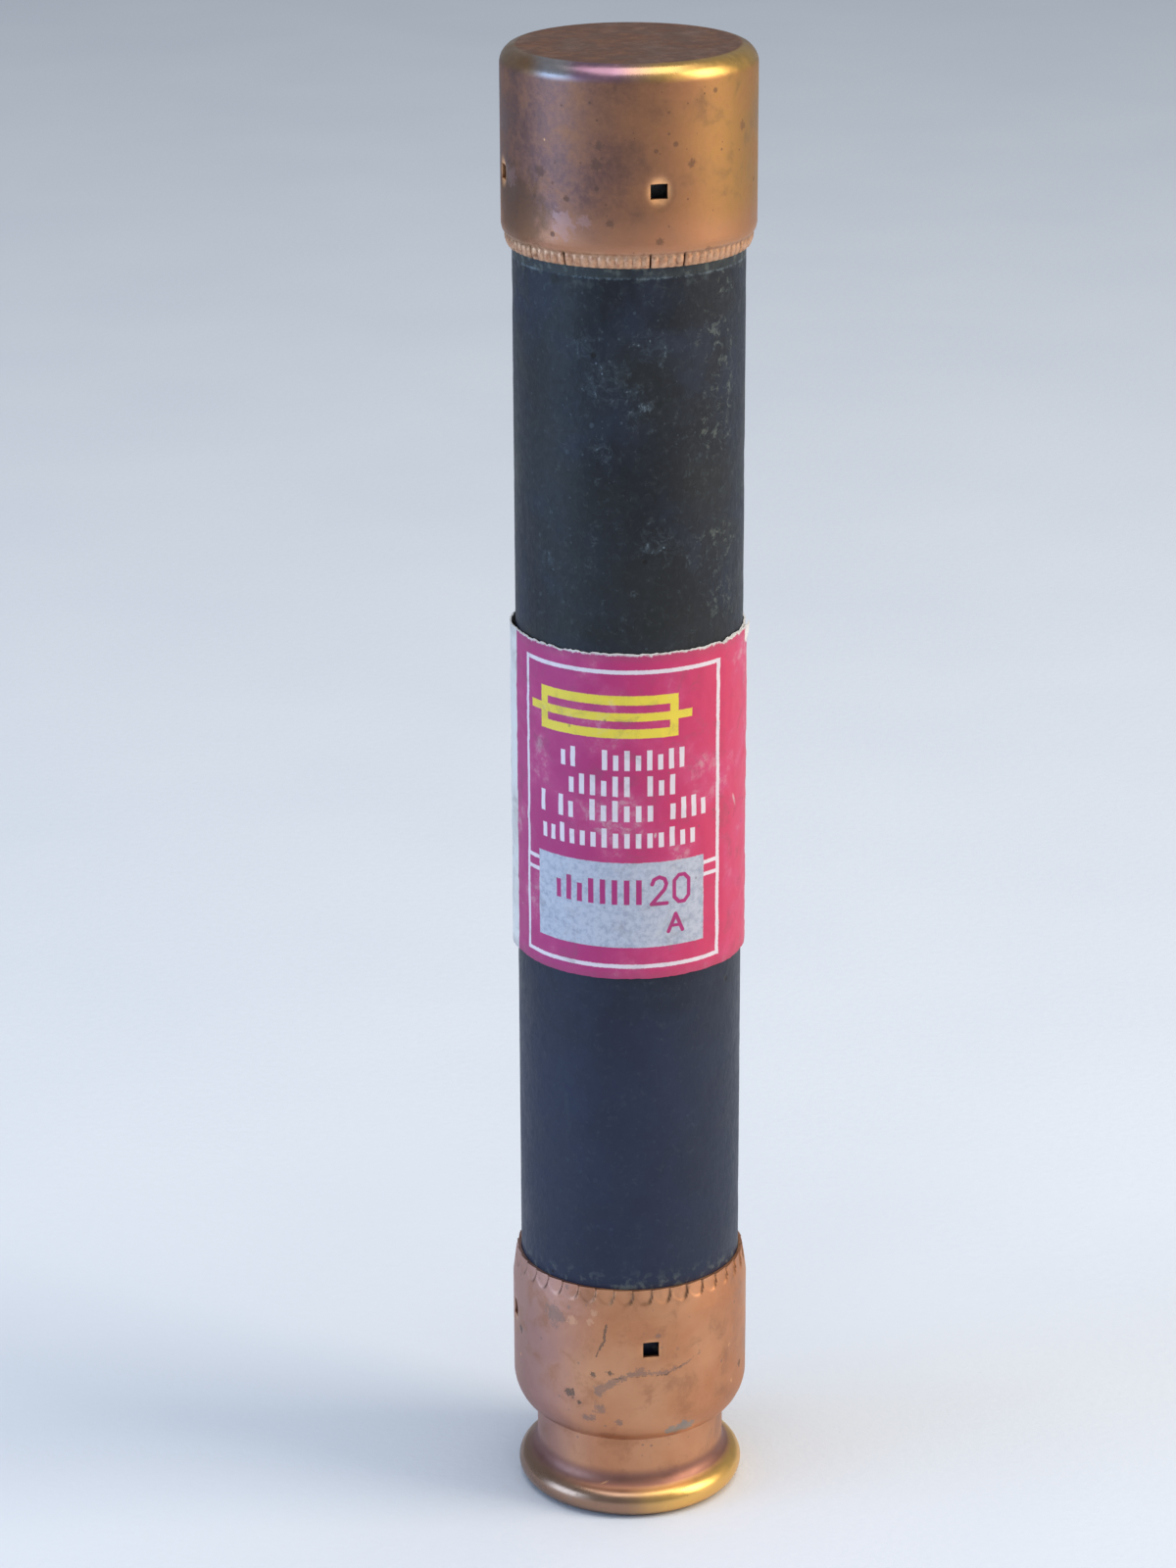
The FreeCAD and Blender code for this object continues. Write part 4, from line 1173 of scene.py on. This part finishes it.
back = most(
    *(letter_row(-292 + 7 * (row % 3), -112 - 11 * (row % 2), 75.2 - row * 2.3, 76.2 - row * 2.3,
                 0.62, 40.0 + 3.3 * row) for row in range(9)),
    less(printed(-230, -150, 52.2, 55.3), printed(-228.4, -151.6, 52.45, 55.05)),
    letter_row(-222, -158, 53.2, 54.3, 0.8, 90.0), printed(-292, -106, 77.1, 77.35))
paper = coated(mixed(fade(cloud, 0.4, 0.7), paper_white, paper_shade), (back * (0.85 - rubs), ink_grey))
dirt = most(fade(noise(place, 2.2, 6.0, 0.7, 0.6), 0.5, 0.78) * 0.42,
            speckle(place, 1.3, 0.16, 0.3) * 0.5)
edge_dirt = most(fade(level, 51.9, 50.8), fade(level, 78.0, 79.2))
dirt = most(dirt, edge_dirt * fibres * 0.45)
colour = coated(mixed(front, paper, ink), (most(torn, white_margin * 0.7), paper_torn),
                (dirt, dirt_tint))
colour = mixed(above(side, 0.85), paper_torn, colour)
rough = most(wear, dirt) * 0.25 + fade(cloud, 0.3, 0.7, 0.42, 0.54)
relief = fibres * 0.5 + wear * -0.5
finish_shader(shader, colour, rough, relief, 0.02)

label_sizes = {"Columns": 270, "Rows": 118, "Radius": label_radius, "Thickness": label_thickness,
               "Low": label_low, "High": label_high, "Start": label_start, "End": label_end,
               "Crease height": 0.07, "Ragged": 0.2, "Lift": 0.24,
               "Loose edge": 0.26}
tree, size = start_shape("wrapped_label", label_sizes)
span = size["High"] - size["Low"]
sheet = add(tree, "GeometryNodeMeshCube",
            {"Size": (1.0, 1.0, 1.0), "Vertices X": size["Columns"], "Vertices Y": 2,
             "Vertices Z": size["Rows"]}).outputs["Mesh"]
parts = parts_of(shaped(tree, "InputPosition"))
share = parts["X"] + 0.5
degrees = share * (size["End"] - size["Start"]) + size["Start"]
turn = calc("RADIANS", degrees)
side = parts["Y"] + 0.5
level = (parts["Z"] + 0.5) * span + size["Low"]
outward = direction(calc("SINE", turn), calc("COSINE", turn) * -1.0, 0.0)
rise = direction(0.0, 0.0, level)
spot = outward * size["Radius"] + rise
crinkle = noise(spot, 3.6, 3.0, 0.55, 0.4)
ridge = fade(abs(crinkle - 0.5), 0.0, 0.09, 1.0, 0.0)
swell = fade(noise(spot, 1.6, 2.0), 0.35, 0.75)
raised = (ridge * 0.6 + swell * 0.4) * size["Crease height"]
lap = fade(degrees, 45.0, 52.0) * (size["Thickness"] + 0.01)
corner = fade(degrees, 70.0, 85.0) * fade(level, 77.2, 79.2)
lifted = corner * size["Lift"]
loose = fade(abs(degrees + 90.0), 4.0, 22.0, 1.0, 0.0)
lifted = loose * size["Loose edge"] + lifted
depth = (side - 0.5) * size["Thickness"]
reach = size["Radius"] + depth + (lap + raised + lifted)
torn_edge = fade(noise(spot, 0.8, 4.0, 0.7), 0.42, 0.72) * size["Ragged"]
nicked = fade(noise(spot, 2.1, 1.0), 0.62, 0.7) * size["Ragged"]
top_edge = fade(level, 77.6, 79.2)
low_edge = fade(level, 51.6, 50.8)
shift = torn_edge * 0.35 * low_edge + (torn_edge + nicked) * (top_edge * -1.0)
height = level + shift
wrapped = outward * reach + direction(0.0, 0.0, height)
flat_place = direction(degrees, level, side)
sheet = shaped(tree, "StoreNamedAttribute", {"Geometry": sheet, "Name": "flat", "Value": flat_place},
               data_type="FLOAT_VECTOR", domain="POINT")
sheet = shaped(tree, "SetPosition", {"Geometry": sheet, "Position": wrapped * mm})
end_shape(tree, sheet, label_paper)
label = shaped_piece("rating_label_paper", tree, label_sizes)
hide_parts("rating_label")
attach(label, "casing")
